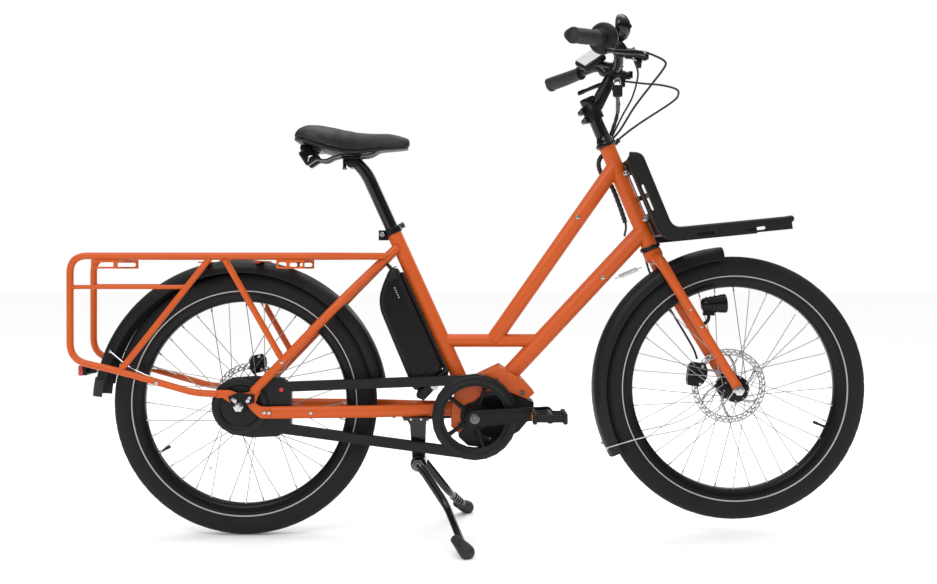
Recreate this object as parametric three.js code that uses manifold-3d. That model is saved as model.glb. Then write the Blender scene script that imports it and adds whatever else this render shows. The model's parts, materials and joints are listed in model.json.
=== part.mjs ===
// Electric cargo bicycle on its two-legged stand: a step-through frame with a long rear carrier,
// a mid motor, an enclosed chain drive and a fixed front tray.
// Millimetres. +X is forward, +Y is the rider's left, +Z is up.
// The origin lies on the floor, under the middle of the bicycle.

import * as THREE from "three";
import { mergeVertices } from "three/addons/utils/BufferGeometryUtils.js";
import Module from "manifold-3d";

const wasm = await Module();
wasm.setup();

// ---- driving dimensions -------------------------------------------------------------------

const GAP = 0.3;
const RIGHT = -1;
const LEFT = 1;

// wheels
const TYRE_RADIUS = 313.5;
const TYRE_HALF_WIDTH = 29;
const RIM_RADIUS = 257;
const RIM_INNER_RADIUS = 240;
const REAR_AXLE_X = -538;
const REAR_AXLE_Z = TYRE_RADIUS;
const FRONT_AXLE_X = 624;
const FRONT_AXLE_Z = 349;
const ROTOR_RADIUS = 90;
const REAR_ROTOR_Y = 63.3;
const FRONT_ROTOR_Y = 40.3;
const SPOKE_PAIRS = 8;

// head tube and steering axis
const HEAD_ANGLE = THREE.MathUtils.degToRad(67);
const HEAD_LENGTH = 258;
const HEAD_BOTTOM = new THREE.Vector3(425, 0, 687);
const HEAD_RADIUS = 19;
const STEERER_RADIUS = 14.3;
const RISER_RADIUS = 16;

// frame tubes
const UPPER_RADIUS = 18.5;
const DOWN_RADIUS = 20.5;
const CROSS_RADIUS = 15.5;
const SEAT_RADIUS = 18;
const POST_RADIUS = 15.5;
const TUBE_WALL = 2;
const STAY_RADIUS = 10.5;
const STAY_Y = 79.5;
const DROPOUT_HALF_THICK = 3;
const SEAT_TOP = new THREE.Vector3(-188, 0, 725);
const SEAT_SLOPE = THREE.MathUtils.degToRad(24.4);
const CROSS_Z = 461.5;
const BRACKET_HALF_WIDTH = 42;

// rear carrier
const RACK_Y = 78;
const RACK_RADIUS = 8;
const RACK_TOP_Z = 662.5;
const RACK_REAR_X = -930;

// drive
const CRANK_X = 7.5;
const CRANK_Z = 287;
const CRANK_LENGTH = 167;
const CRANK_RISE = THREE.MathUtils.degToRad(4.6);
const CHAIN_Y = -56;
const FRONT_CHAIN_RADIUS = 87;
const REAR_CHAIN_RADIUS = 40;
const CHAIN_HALF_THICK = 4;
const CHAIN_HALF_WIDTH = 3.5;
const CASE_HALF_WIDTH = 12;
const CASE_WALL = 2;
const CASE_RADIUS = 100;
const CASE_HOLE_RADIUS = 73;
const PEDAL_INNER_Y = 106;
const PEDAL_OUTER_Y = 196;

// stand
const STAND_X = -125;
const STAND_Z = 173;
const FOOT_Y = 216;
const FOOT_RADIUS = 17;

// handlebar
const BAR_RADIUS = 11;
const GRIP_RADIUS = 16;
const BAR_CLAMP = new THREE.Vector3(340, 0, 1103);

// ---- vectors and paths --------------------------------------------------------------------

const v = (x, y, z) => new THREE.Vector3(x, y, z);
const UP_HEAD = v(-Math.cos(HEAD_ANGLE), 0, Math.sin(HEAD_ANGLE));
const DOWN_SEAT = v(Math.sin(SEAT_SLOPE), 0, -Math.cos(SEAT_SLOPE));
const BACK_SEAT = v(-Math.cos(SEAT_SLOPE), 0, -Math.sin(SEAT_SLOPE));

function onHead(distance) {
  return HEAD_BOTTOM.clone().addScaledVector(UP_HEAD, distance);
}

function onSeat(down, back = 0) {
  return SEAT_TOP.clone().addScaledVector(DOWN_SEAT, down).addScaledVector(BACK_SEAT, back);
}

// a path that steps from point to point, so that each straight run is one step
class SteppedPath extends THREE.Curve {
  constructor(points) {
    super();
    this.points = points;
    this.steps = points.length - 1;
  }

  getPoint(t) {
    const place = t * this.steps;
    const i = Math.min(Math.floor(place + 1e-9), this.steps - 1);
    return this.points[i].clone().lerp(this.points[i + 1], place - i);
  }

  getPointAt(t) {
    return this.getPoint(t);
  }

  getTangentAt(t) {
    const i = Math.round(t * this.steps);
    const last = Math.max(i, 1);
    const next = Math.min(i, this.steps - 1);
    const before = this.points[last].clone().sub(this.points[last - 1]).normalize();
    const after = this.points[next + 1].clone().sub(this.points[next]).normalize();
    return before.add(after).normalize();
  }
}

// straight runs joined by rounded corners of one size
function roundedPath(points, corner, perCorner = 3) {
  const found = [points[0]];
  for (let i = 1; i < points.length - 1; i += 1) {
    const here = points[i];
    const before = here.clone().sub(points[i - 1]);
    const after = points[i + 1].clone().sub(here);
    const reach = Math.min(corner, before.length() * 0.45, after.length() * 0.45);
    const enter = here.clone().addScaledVector(before.normalize(), -reach);
    const leave = here.clone().addScaledVector(after.normalize(), reach);
    found.push(...new THREE.QuadraticBezierCurve3(enter, here, leave).getPoints(perCorner));
  }
  return new SteppedPath([...found, points[points.length - 1]]);
}

// ---- solids -------------------------------------------------------------------------------

function solid(geometry) {
  const bare = geometry.clone();
  bare.deleteAttribute("normal");
  bare.deleteAttribute("uv");
  const merged = mergeVertices(bare, 1e-4);
  const vertProperties = new Float32Array(merged.attributes.position.array);
  const triVerts = new Uint32Array(merged.index.array);
  const made = new wasm.Manifold(new wasm.Mesh({ numProp: 3, vertProperties, triVerts }));
  if (made.volume() > 0) {
    return made;
  }
  const turned = triVerts.slice().reverse();
  return new wasm.Manifold(new wasm.Mesh({ numProp: 3, vertProperties, triVerts: turned }));
}

function geometryOf(made) {
  const mesh = made.getMesh();
  const geometry = new THREE.BufferGeometry();
  const points = new Float32Array(mesh.numVert * 3);
  for (let i = 0; i < mesh.numVert; i += 1) {
    for (let k = 0; k < 3; k += 1) {
      points[3 * i + k] = mesh.vertProperties[mesh.numProp * i + k];
    }
  }
  geometry.setAttribute("position", new THREE.BufferAttribute(points, 3));
  geometry.setIndex(new THREE.BufferAttribute(new Uint32Array(mesh.triVerts), 1));
  geometry.computeVertexNormals();
  return geometry;
}

function joined(parts) {
  return parts.reduce((whole, part) => whole.add(part));
}

function cutBy(whole, cutters) {
  return cutters.reduce((left, cutter) => left.subtract(cutter), whole);
}

// a round bar from one point to another, with its own radius at each end
function rod(from, to, radius, endRadius = radius, sides = 16) {
  const along = to.clone().sub(from);
  const geometry = new THREE.CylinderGeometry(endRadius, radius, along.length(), sides);
  const turn = new THREE.Quaternion().setFromUnitVectors(v(0, 1, 0), along.clone().normalize());
  const middle = from.clone().addScaledVector(along, 0.5);
  geometry.applyMatrix4(new THREE.Matrix4().compose(middle, turn, v(1, 1, 1)));
  return solid(geometry);
}

// a round tube, open at both ends
function pipe(from, to, outer, inner, sides = 20) {
  const along = to.clone().sub(from).normalize();
  const start = from.clone().addScaledVector(along, -1);
  const bore = rod(start, to.clone().addScaledVector(along, 1), inner, inner, sides);
  return rod(from, to, outer, outer, sides).subtract(bore);
}

// a closed section swept along a path
function swept(section, path, curveSegments) {
  const settings = { steps: path.steps, curveSegments, extrudePath: path, bevelEnabled: false };
  return solid(new THREE.ExtrudeGeometry(section, settings));
}

// a bar of round section that runs from point to point, with rounded corners
function bentRod(points, corner, radius, sides = 10, perCorner = 3) {
  return swept(disc(0, 0, radius), roundedPath(points, corner, perCorner), sides / 2);
}

function box(low, high) {
  const geometry = new THREE.BoxGeometry(high.x - low.x, high.y - low.y, high.z - low.z);
  geometry.translate((low.x + high.x) / 2, (low.y + high.y) / 2, (low.z + high.z) / 2);
  return solid(geometry);
}

function outline(points) {
  return new THREE.Shape(points.map(([x, z]) => new THREE.Vector2(x, z)));
}

function disc(x, z, radius) {
  const shape = new THREE.Shape();
  shape.absarc(x, z, radius, 0, 2 * Math.PI, false);
  return shape;
}

// a flat shape drawn in X and Z, standing between two Y values
function plate(shape, yA, yB, curveSegments = 12) {
  const depth = Math.abs(yB - yA);
  const geometry = new THREE.ExtrudeGeometry(shape, { depth, curveSegments, bevelEnabled: false });
  geometry.rotateX(Math.PI / 2);
  geometry.translate(0, Math.max(yA, yB), 0);
  return solid(geometry);
}

// the polygon moved outwards by a distance on every edge
function grown(points, distance) {
  const count = points.length;
  const area = points.reduce((sum, [x, z], i) => {
    const [nextX, nextZ] = points[(i + 1) % count];
    return sum + x * nextZ - nextX * z;
  }, 0);
  const turn = Math.sign(area);
  const edges = points.map(([x, z], i) => {
    const [nextX, nextZ] = points[(i + 1) % count];
    const long = Math.hypot(nextX - x, nextZ - z);
    return [(turn * (nextZ - z)) / long, (-turn * (nextX - x)) / long];
  });
  return points.map(([x, z], i) => {
    const [ax, az] = edges[(i + count - 1) % count];
    const [bx, bz] = edges[i];
    const share = distance / (1 + ax * bx + az * bz);
    return [x + (ax + bx) * share, z + (az + bz) * share];
  });
}

// a body of revolution about the Y axis of its own frame; the profile lists [radius, y]
function turnedBody(profile, segments) {
  const points = profile.map(([radius, y]) => new THREE.Vector2(radius, y));
  return solid(new THREE.LatheGeometry(points, segments));
}

// the part of a ring between two angles, seen from the right: 0 is forward, 90 is up
function ringSector(profile, segments, fromDegrees, toDegrees, reach) {
  const shape = new THREE.Shape();
  const from = THREE.MathUtils.degToRad(fromDegrees);
  const to = THREE.MathUtils.degToRad(toDegrees);
  shape.moveTo(0, 0);
  shape.absarc(0, 0, reach, from, to, false);
  shape.lineTo(0, 0);
  const wedge = plate(shape, -100, 100, 24);
  return turnedBody(profile, segments).intersect(wedge);
}

// ---- materials ----------------------------------------------------------------------------

function material(color, roughness, metalness) {
  return new THREE.MeshStandardMaterial({ color, roughness, metalness });
}

const orangePaint = material(0xd8602a, 0.42, 0.1);
const blackPaint = material(0x1b1b1d, 0.45, 0.2);
const blackPlastic = material(0x202022, 0.6, 0);
const blackRubber = material(0x26262a, 0.85, 0);
const tyreRubber = material(0x1e1e20, 0.9, 0);
const steel = material(0xb8bcc0, 0.3, 1);
const redLens = material(0xc01818, 0.2, 0);
const glossBlack = material(0x0e0e10, 0.12, 0.1);

const bicycle = new THREE.Group();

function add(name, made, paint, group = bicycle) {
  const mesh = new THREE.Mesh(geometryOf(made), paint);
  mesh.name = name;
  group.add(mesh);
  return mesh;
}

function groupAt(x, y, z) {
  const group = new THREE.Group();
  group.position.set(x, y, z);
  bicycle.add(group);
  return group;
}

// ---- main frame ---------------------------------------------------------------------------

const upperTop = onHead(208);
const crossFront = v(165, 0, CROSS_Z);
const crossRear = v(-71, 0, CROSS_Z);
const upperFoot = v(52, 0, CROSS_Z);
const downTop = onHead(39);
const downFoot = v(92, 0, 382);
const seatFoot = onSeat(400);
const headCutter = rod(onHead(-5), onHead(HEAD_LENGTH + 5), HEAD_RADIUS + GAP, HEAD_RADIUS + GAP, 20);

// the motor cradle, seen from the side
const bracketOutline = [
  [-48, 262], [-30, 246], [-16, 262], [2, 318], [40, 345], [92, 341], [132, 326], [149, 341],
  [120, 373], [90, 389], [66, 405], [0, 374], [-34, 352], [-48, 312],
];
const bracketCutter = plate(
  outline(grown(bracketOutline, GAP)), -BRACKET_HALF_WIDTH - GAP, BRACKET_HALF_WIDTH + GAP,
);

function makeHeadTube() {
  return pipe(onHead(0), onHead(HEAD_LENGTH), HEAD_RADIUS, HEAD_RADIUS - TUBE_WALL);
}

function makeUpperTube() {
  const tube = pipe(upperTop, upperFoot, UPPER_RADIUS, UPPER_RADIUS - TUBE_WALL);
  const crossCutter = rod(crossRear, crossFront, CROSS_RADIUS + GAP, CROSS_RADIUS + GAP, 20);
  return cutBy(tube, [headCutter, crossCutter]);
}

function makeCrossTube() {
  const tube = pipe(crossRear, crossFront, CROSS_RADIUS, CROSS_RADIUS - TUBE_WALL);
  const seatCutter = rod(onSeat(-5), seatFoot, SEAT_RADIUS + GAP, SEAT_RADIUS + GAP, 20);
  const downCutter = rod(downTop, downFoot, DOWN_RADIUS + GAP, DOWN_RADIUS + GAP, 20);
  return cutBy(tube, [seatCutter, downCutter]);
}

function makeDownTube() {
  const tube = pipe(downTop, downFoot, DOWN_RADIUS, DOWN_RADIUS - TUBE_WALL);
  return cutBy(tube, [headCutter, bracketCutter]);
}

function makeSeatTube() {
  const tube = pipe(onSeat(0), onSeat(392), SEAT_RADIUS, SEAT_RADIUS - TUBE_WALL);
  return cutBy(tube, [bracketCutter]);
}

function makeMotorBracket() {
  const skin = 6;
  const plates = plate(outline(bracketOutline), -BRACKET_HALF_WIDTH, BRACKET_HALF_WIDTH);
  const lowered = bracketOutline.map(([x, z]) => [x, z - skin]);
  const pocket = plate(outline(lowered), -BRACKET_HALF_WIDTH + 5, BRACKET_HALF_WIDTH - 5);
  return plates.subtract(pocket);
}

// a seat stay, with the carrier strut that is welded to it
function makeSeatStay(side) {
  const stay = bentRod(
    [
      v(-176, side * 16, 684), v(-292, side * 56, 570), v(-398, side * 79, 459),
      v(-505, side * STAY_Y, 348),
    ],
    60, STAY_RADIUS, 12,
  );
  const strut = rod(v(-570, side * RACK_Y, 651), v(-440, side * 76, 424), 7.2, 7.2, 12);
  const seatCutter = rod(onSeat(-5), onSeat(200), SEAT_RADIUS + GAP, SEAT_RADIUS + GAP, 20);
  const railUnderside = RACK_TOP_Z - RACK_RADIUS - GAP;
  const railCutter = box(
    v(-600, side * RACK_Y - 20, railUnderside), v(-540, side * RACK_Y + 20, 690),
  );
  return cutBy(joined([stay, strut]), [seatCutter, railCutter, dropoutCutter(side)]);
}

const dropoutOutline = [
  [-590, 352], [-560, 352], [-538, 344], [-520, 346], [-500, 360], [-488, 348], [-500, 322],
  [-478, 313], [-456, 313], [-456, 287], [-490, 287], [-512, 308], [-526, 322], [-556, 322], [-572, 334],
  [-590, 334],
];

function dropoutCutter(side) {
  const half = DROPOUT_HALF_THICK + GAP;
  return plate(outline(grown(dropoutOutline, GAP)), side * (STAY_Y - half), side * (STAY_Y + half));
}

// a chain stay: an oval tube that bends inwards past the tyre, with its dropout plate
function makeChainStay(side) {
  const section = new THREE.Shape();
  section.absellipse(0, 0, 14.5, 7.5, 0, 2 * Math.PI, false, 0);
  const path = roundedPath(
    [v(-458, side * STAY_Y, 300), v(-220, side * 61, 300), v(-118, side * 33, 300), v(-49, side * 31, 300)],
    60,
  );
  const stay = swept(section, path, 8);
  const dropout = plate(
    outline(dropoutOutline), side * (STAY_Y - DROPOUT_HALF_THICK), side * (STAY_Y + DROPOUT_HALF_THICK),
  );
  return joined([stay, dropout]).subtract(bracketCutter);
}

// ---- rear carrier -------------------------------------------------------------------------

function makeRackLoop(side) {
  const y = side * RACK_Y;
  const loop = bentRod([
    v(-203, side * 37, RACK_TOP_Z), v(-330, y, RACK_TOP_Z), v(RACK_REAR_X, y, RACK_TOP_Z),
    v(RACK_REAR_X, y, 422), v(-813, y, 394.5), v(-640, y, 345), v(-590.6, y, 343),
  ], 36, RACK_RADIUS, 10);
  const stayCutter = rod(v(-150, side * 7, 709), v(-292, side * 56, 570), STAY_RADIUS + 3, STAY_RADIUS + 3);
  return loop.subtract(stayCutter);
}

// the rear strut of the carrier side, with the second side rail
function makeRackBraces(side) {
  const y = side * RACK_Y;
  const strut = rod(v(-605, y, 660), v(-816, y, 390), 7.2, 7.2, 12);
  const rail = rod(v(RACK_REAR_X, y, 590.5), v(-658, y, 590.5), 5, 5, 12);
  const topCutter = box(v(-640, y - 20, RACK_TOP_Z - RACK_RADIUS - GAP), v(-570, y + 20, 690));
  const rearCutter = box(v(-960, y - 20, 570), v(RACK_REAR_X + RACK_RADIUS + GAP, y + 20, 610));
  const lowReach = RACK_RADIUS + 1.5;
  const lowCutter = rod(v(-940, y, 431.5), v(-640, y, 345), lowReach, lowReach, 20);
  return cutBy(joined([strut, rail]), [topCutter, rearCutter, lowCutter]);
}

function slot(x, z, length, height) {
  const radius = height / 2;
  const half = length / 2 - radius;
  const path = new THREE.Path();
  path.absarc(x + half, z, radius, -Math.PI / 2, Math.PI / 2, false);
  path.absarc(x - half, z, radius, Math.PI / 2, 1.5 * Math.PI, false);
  return path;
}

// a flat bridge between the two top rails, with a slotted ear under each of them
function makeRackBridge(rearX, frontX, slots) {
  const top = RACK_TOP_Z - RACK_RADIUS - GAP;
  const bottom = top - 21;
  const middle = (rearX + frontX) / 2;
  const parts = [box(v(middle - 12, -RACK_Y, top - 4), v(middle + 12, RACK_Y, top))];
  for (const side of [RIGHT, LEFT]) {
    const ear = outline([[rearX, bottom], [frontX, bottom], [frontX, top], [rearX, top]]);
    for (const [x, length] of slots) {
      ear.holes.push(slot(x, (top + bottom) / 2 - 1, length, 10));
    }
    parts.push(plate(ear, side * RACK_Y - 2.5, side * RACK_Y + 2.5, 4));
  }
  return joined(parts);
}

// ---- mudguards ----------------------------------------------------------------------------

function mudguardProfile(radius) {
  const thick = 2.6;
  return [
    [radius - 30, 36], [radius - 12, 33], [radius - 3, 22], [radius, 8],
    [radius, -8], [radius - 3, -22], [radius - 12, -33], [radius - 30, -36],
    [radius - 30, -36 + thick], [radius - 12 - thick * 0.4, -33 + thick],
    [radius - 3 - thick, -21], [radius - thick, -8], [radius - thick, 8], [radius - 3 - thick, 21],
    [radius - 12 - thick * 0.4, 33 - thick], [radius - 30, 36 - thick], [radius - 30, 36],
  ];
}

// ---- wheels -------------------------------------------------------------------------------

function makeTyre() {
  const inner = RIM_RADIUS + 0.6;
  const outer = [];
  const lining = [];
  const count = 6;
  const start = THREE.MathUtils.degToRad(-52);
  const centre = TYRE_RADIUS - TYRE_HALF_WIDTH;
  for (let i = 0; i <= count; i += 1) {
    const angle = start + ((Math.PI - 2 * start) * i) / count - Math.PI / 2;
    outer.push([centre + TYRE_HALF_WIDTH * Math.cos(angle), TYRE_HALF_WIDTH * Math.sin(angle)]);
    lining.push([centre + (TYRE_HALF_WIDTH - 4) * Math.cos(angle), (TYRE_HALF_WIDTH - 4) * Math.sin(angle)]);
  }
  const profile = [...outer, ...lining.reverse(), outer[0]];
  return turnedBody(profile.map(([radius, y]) => [Math.max(radius, inner), y]), 40);
}

// rim, spokes and hub shell as one built wheel
function makeWheel(hubProfile, boreRadius, flanges) {
  const rim = turnedBody([
    [RIM_INNER_RADIUS, -8], [RIM_INNER_RADIUS + 8, -17], [RIM_RADIUS, -17], [RIM_RADIUS, 17],
    [RIM_INNER_RADIUS + 8, 17], [RIM_INNER_RADIUS, 8], [RIM_INNER_RADIUS, -8],
  ], 30);
  const hub = turnedBody(hubProfile, 14);
  const parts = [rim, hub];
  for (let i = 0; i < 2 * SPOKE_PAIRS; i += 1) {
    const flange = flanges[i % 2];
    const lean = (Math.floor(i / 2) % 2 === 0 ? 1 : -1) * 0.95;
    const rimAngle = (Math.PI * i) / SPOKE_PAIRS;
    const hubAngle = rimAngle + lean;
    const from = v(flange.radius * Math.cos(hubAngle), flange.y, flange.radius * Math.sin(hubAngle));
    const reach = RIM_INNER_RADIUS + 3;
    const to = v(reach * Math.cos(rimAngle), Math.sign(flange.y) * 4, reach * Math.sin(rimAngle));
    parts.push(rod(from, to, 1.2, 1.2, 3));
  }
  const bore = rod(v(0, -100, 0), v(0, 100, 0), boreRadius, boreRadius, 16);
  return joined(parts).subtract(bore);
}

// a brake disc: an outer band, six arms and a middle ring
function makeRotor() {
  const arms = 6;
  const shape = disc(0, 0, ROTOR_RADIUS);
  const bore = new THREE.Path();
  bore.absarc(0, 0, 23, 0, 2 * Math.PI, false);
  shape.holes.push(bore);
  for (let i = 0; i < arms; i += 1) {
    const from = (i * 2 * Math.PI) / arms + 0.12;
    const to = ((i + 1) * 2 * Math.PI) / arms - 0.12;
    const corners = [[35, from + 0.06], [72, from], [76, (from + to) / 2], [72, to], [35, to - 0.06]];
    shape.holes.push(new THREE.Path(corners.map(([radius, angle]) => (
      new THREE.Vector2(radius * Math.cos(angle), radius * Math.sin(angle))
    ))));
  }
  return plate(shape, -1, 1, 15);
}

// ---- drive --------------------------------------------------------------------------------

function stadium(frontRadius, rearRadius) {
  const dx = REAR_AXLE_X - CRANK_X;
  const dz = REAR_AXLE_Z - CRANK_Z;
  const span = Math.hypot(dx, dz);
  const along = Math.atan2(dz, dx);
  const tilt = Math.acos((frontRadius - rearRadius) / span);
  const shape = new THREE.Shape();
  shape.absarc(CRANK_X, CRANK_Z, frontRadius, along + tilt, along - tilt, false);
  shape.absarc(REAR_AXLE_X, REAR_AXLE_Z, rearRadius, along - tilt, along + tilt, false);
  return shape;
}

// an endless band that follows the chain's run, moved outwards or inwards by a distance
function chainLoop(distance, yA, yB) {
  return plate(stadium(FRONT_CHAIN_RADIUS + distance, REAR_CHAIN_RADIUS + distance), yA, yB);
}

function makeChain() {
  const outer = chainLoop(CHAIN_HALF_THICK, CHAIN_Y - CHAIN_HALF_WIDTH, CHAIN_Y + CHAIN_HALF_WIDTH);
  return outer.subtract(chainLoop(-CHAIN_HALF_THICK, CHAIN_Y - 9, CHAIN_Y + 9));
}

// the closed chain case: it is open inside its long loop, around the chainring and at the hub
function makeChainCase() {
  const low = CHAIN_Y - CASE_HALF_WIDTH;
  const high = CHAIN_Y + CASE_HALF_WIDTH;
  const innerLow = low + CASE_WALL;
  const innerHigh = high - CASE_WALL;
  const reach = CASE_RADIUS - FRONT_CHAIN_RADIUS - 2;
  const rearCover = outline([
    [-602, 330], [-590, 358], [-560, 378], [-505, 382], [-440, 378], [-420, 360], [-420, 262], [-450, 243],
    [-511, 240], [-560, 248], [-590, 270], [-602, 300],
  ]);
  const shell = joined([
    chainLoop(reach, low, high), plate(disc(CRANK_X, CRANK_Z, CASE_RADIUS), low, high),
    plate(rearCover, low, high),
  ]);
  const window = cutBy(chainLoop(-reach, low - 5, high + 5), [
    box(v(-640, low - 9, 200), v(-420, high + 9, 420)),
    plate(disc(CRANK_X, CRANK_Z, CASE_RADIUS), low - 9, high + 9),
  ]);
  const hole = plate(disc(CRANK_X, CRANK_Z, CASE_HOLE_RADIUS), low - 9, high + 9);
  const inside = chainLoop(reach - CASE_WALL, innerLow, innerHigh)
    .add(plate(disc(REAR_AXLE_X, REAR_AXLE_Z, 60), innerLow, innerHigh));
  const core = cutBy(chainLoop(CASE_WALL - reach, low - 5, high + 5), [
    plate(disc(CRANK_X, CRANK_Z, CASE_RADIUS - CASE_WALL), low - 9, high + 9),
    box(v(-640, low - 9, 200), v(-420 - CASE_WALL, high + 9, 420)),
  ]);
  const hub = v(REAR_AXLE_X, CHAIN_Y, REAR_AXLE_Z);
  const hubHole = rod(hub, hub.clone().setY(0), 46, 46, 24);
  const axleHole = rod(hub, hub.clone().setY(-100), 12);
  return cutBy(shell, [window, hole, inside.subtract(core), hubHole, axleHole]);
}

function makeChainring() {
  const ring = disc(0, 0, FRONT_CHAIN_RADIUS - CHAIN_HALF_THICK - 0.6);
  const opening = new THREE.Path();
  opening.absarc(0, 0, 75, 0, 2 * Math.PI, false);
  ring.holes.push(opening);
  const parts = [plate(ring, -1.5, 1.5, 15), rod(v(0, 3, 0), v(0, -18, 0), 24, 24, 16)];
  for (let i = 0; i < 5; i += 1) {
    const angle = THREE.MathUtils.degToRad(70 + 72 * i);
    parts.push(rod(v(0, -1, 0), v(78 * Math.cos(angle), 0, 78 * Math.sin(angle)), 5, 3.4, 6));
  }
  return joined(parts).subtract(rod(v(0, -30, 0), v(0, 30, 0), 9, 9, 16));
}

// the pedal's place, seen from the crank spindle: the right crank points forwards, the left one back
function crankEnd(side) {
  const reach = -side * CRANK_LENGTH;
  return v(reach * Math.cos(CRANK_RISE), 0, reach * Math.sin(CRANK_RISE));
}

// a crank arm with its pedal pin; the right one also carries the spindle
function makeCrank(side, withSpindle) {
  const end = crankEnd(side);
  const arm = new THREE.Shape();
  const normal = v(-Math.sin(CRANK_RISE), 0, Math.cos(CRANK_RISE)).multiplyScalar(-side);
  const a = v(0, 0, 0).addScaledVector(normal, 16);
  const b = end.clone().addScaledVector(normal, 13);
  const c = end.clone().addScaledVector(normal, -13);
  const d = v(0, 0, 0).addScaledVector(normal, -16);
  arm.moveTo(a.x, a.z);
  arm.lineTo(b.x, b.z);
  arm.lineTo(c.x, c.z);
  arm.lineTo(d.x, d.z);
  arm.closePath();
  const parts = [
    plate(arm, side * 80, side * 94),
    rod(v(0, side * 78, 0), v(0, side * 95, 0), 19),
    rod(v(end.x, side * 80, end.z), v(end.x, side * 94, end.z), 14),
    rod(v(end.x, side * 90, end.z), v(end.x, side * (PEDAL_OUTER_Y - 8), end.z), 5, 5, 12),
  ];
  if (withSpindle) {
    parts.push(rod(v(0, -80, 0), v(0, 77.5, 0), 8, 8, 16));
  }
  return joined(parts);
}

function makePedal(side) {
  const body = box(v(-39, Math.min(side * PEDAL_INNER_Y, side * PEDAL_OUTER_Y), -12),
    v(39, Math.max(side * PEDAL_INNER_Y, side * PEDAL_OUTER_Y), 12));
  const middle = side * (PEDAL_INNER_Y + PEDAL_OUTER_Y) / 2;
  const windows = [-1, 1].map((end) => box(
    v(end * 21 - 10, middle - 36, -20), v(end * 21 + 10, middle + 36, 20),
  ));
  const bore = rod(v(0, side * 60, 0), v(0, side * (PEDAL_OUTER_Y - 6), 0), 5.6, 5.6, 12);
  return cutBy(body, [...windows, bore]);
}

function makeMotor() {
  const shape = outline([
    [-30, 236], [-8, 216], [30, 212], [62, 222], [112, 250], [146, 290], [147, 318], [128, 326],
    [98, 336], [60, 352], [16, 338], [-14, 306], [-34, 270],
  ]);
  const body = plate(shape, -36, 36);
  const shoulder = rod(v(CRANK_X, -50, CRANK_Z), v(CRANK_X, 50, CRANK_Z), 34, 34, 24);
  const bore = rod(v(CRANK_X, -90, CRANK_Z), v(CRANK_X, 90, CRANK_Z), 9, 9, 16);
  return joined([body, shoulder.subtract(bracketCutter)]).subtract(bore);
}

// ---- battery ------------------------------------------------------------------------------

function onSeatOutline(points) {
  return outline(points.map(([down, back]) => {
    const place = onSeat(down, back);
    return [place.x, place.z];
  }));
}

function makeBattery() {
  return plate(onSeatOutline([
    [84, 27], [84, 44], [105, 68], [126, 87], [144, 97], [165, 103], [360, 109], [372, 104], [352, 27],
  ]), -41, 41);
}

function makeBatteryDock() {
  const rail = plate(onSeatOutline([[100, 18.8], [100, 26.2], [353, 26.2], [353, 18.8]]), -22, 22);
  const base = plate(onSeatOutline([
    [352, 18.8], [353, 26.2], [373.6, 105.5], [384, 110], [398, 97], [366, 18.8],
  ]), -41, 41);
  return joined([rail, base]).subtract(bracketCutter);
}

// ---- saddle and post ----------------------------------------------------------------------

const CLAMP_LOW = v(-307, -17, 890);
const CLAMP_HIGH = v(-262, 17, 911);

function makeSeatPost() {
  const shaft = rod(onSeat(170), onSeat(-158), POST_RADIUS, POST_RADIUS, 24);
  const head = rod(onSeat(-150), v(-286, 0, 900), 13, 13);
  const clampCutter = box(v(-330, -30, CLAMP_LOW.z - GAP), v(-200, 30, 960));
  return joined([shaft, head]).subtract(clampCutter);
}

function makeSaddleRails() {
  const parts = [box(CLAMP_LOW, CLAMP_HIGH), box(v(-404, -44, 878), v(-362, 44, 913))];
  for (const side of [RIGHT, LEFT]) {
    parts.push(bentRod([
      v(-385, side * 36, 895), v(-350, side * 24, 888), v(-330, side * 15, 898), v(-245, side * 15, 900),
      v(-216, side * 14, 913),
    ], 14, 3.5, 8));
  }
  return joined(parts);
}

function makeSaddle() {
  const shape = new THREE.Shape();
  shape.moveTo(-145, 0);
  shape.bezierCurveTo(-145, 26, -200, 22, -250, 40);
  shape.bezierCurveTo(-300, 60, -320, 105, -368, 104);
  shape.bezierCurveTo(-410, 102, -419, 60, -419, 0);
  shape.bezierCurveTo(-419, -60, -410, -102, -368, -104);
  shape.bezierCurveTo(-320, -105, -300, -60, -250, -40);
  shape.bezierCurveTo(-200, -22, -145, -26, -145, 0);
  const geometry = new THREE.ExtrudeGeometry(shape, { depth: 52, curveSegments: 6, bevelEnabled: false });
  geometry.translate(0, 0, 917);
  return solid(geometry);
}

// quick-release lever of the seat clamp: a cam behind the seat tube and a blade along its left side
function makeQuickRelease() {
  const cam = onSeat(-3, 27).setY(28);
  const tip = onSeat(-3, -28).setY(30);
  const low = cam.clone().addScaledVector(DOWN_SEAT, 8);
  const barrel = rod(low, cam.clone().addScaledVector(DOWN_SEAT, -8), 6);
  return joined([barrel, rod(cam, tip, 4, 5.5, 12)]);
}

// ---- steering -----------------------------------------------------------------------------

const FORK_LEG_Y = 57;

function makeFork() {
  const parts = [rod(onHead(-34), onHead(HEAD_LENGTH + 9), STEERER_RADIUS, STEERER_RADIUS, 20)];
  for (const side of [RIGHT, LEFT]) {
    const y = side * FORK_LEG_Y;
    parts.push(bentRod([
      onHead(-24), v(444, side * 46, 651), v(474, y, 597), v(618, y, 361),
    ], 30, 12.5, 12));
    parts.push(rod(v(616, y, 364), v(FRONT_AXLE_X, y, FRONT_AXLE_Z), 11, 11));
  }
  const axleEnd = v(FRONT_AXLE_X, FORK_LEG_Y + 9, FRONT_AXLE_Z);
  parts.push(rod(axleEnd.clone().setY(-axleEnd.y), axleEnd, 5, 5, 12));
  return joined(parts);
}

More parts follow.
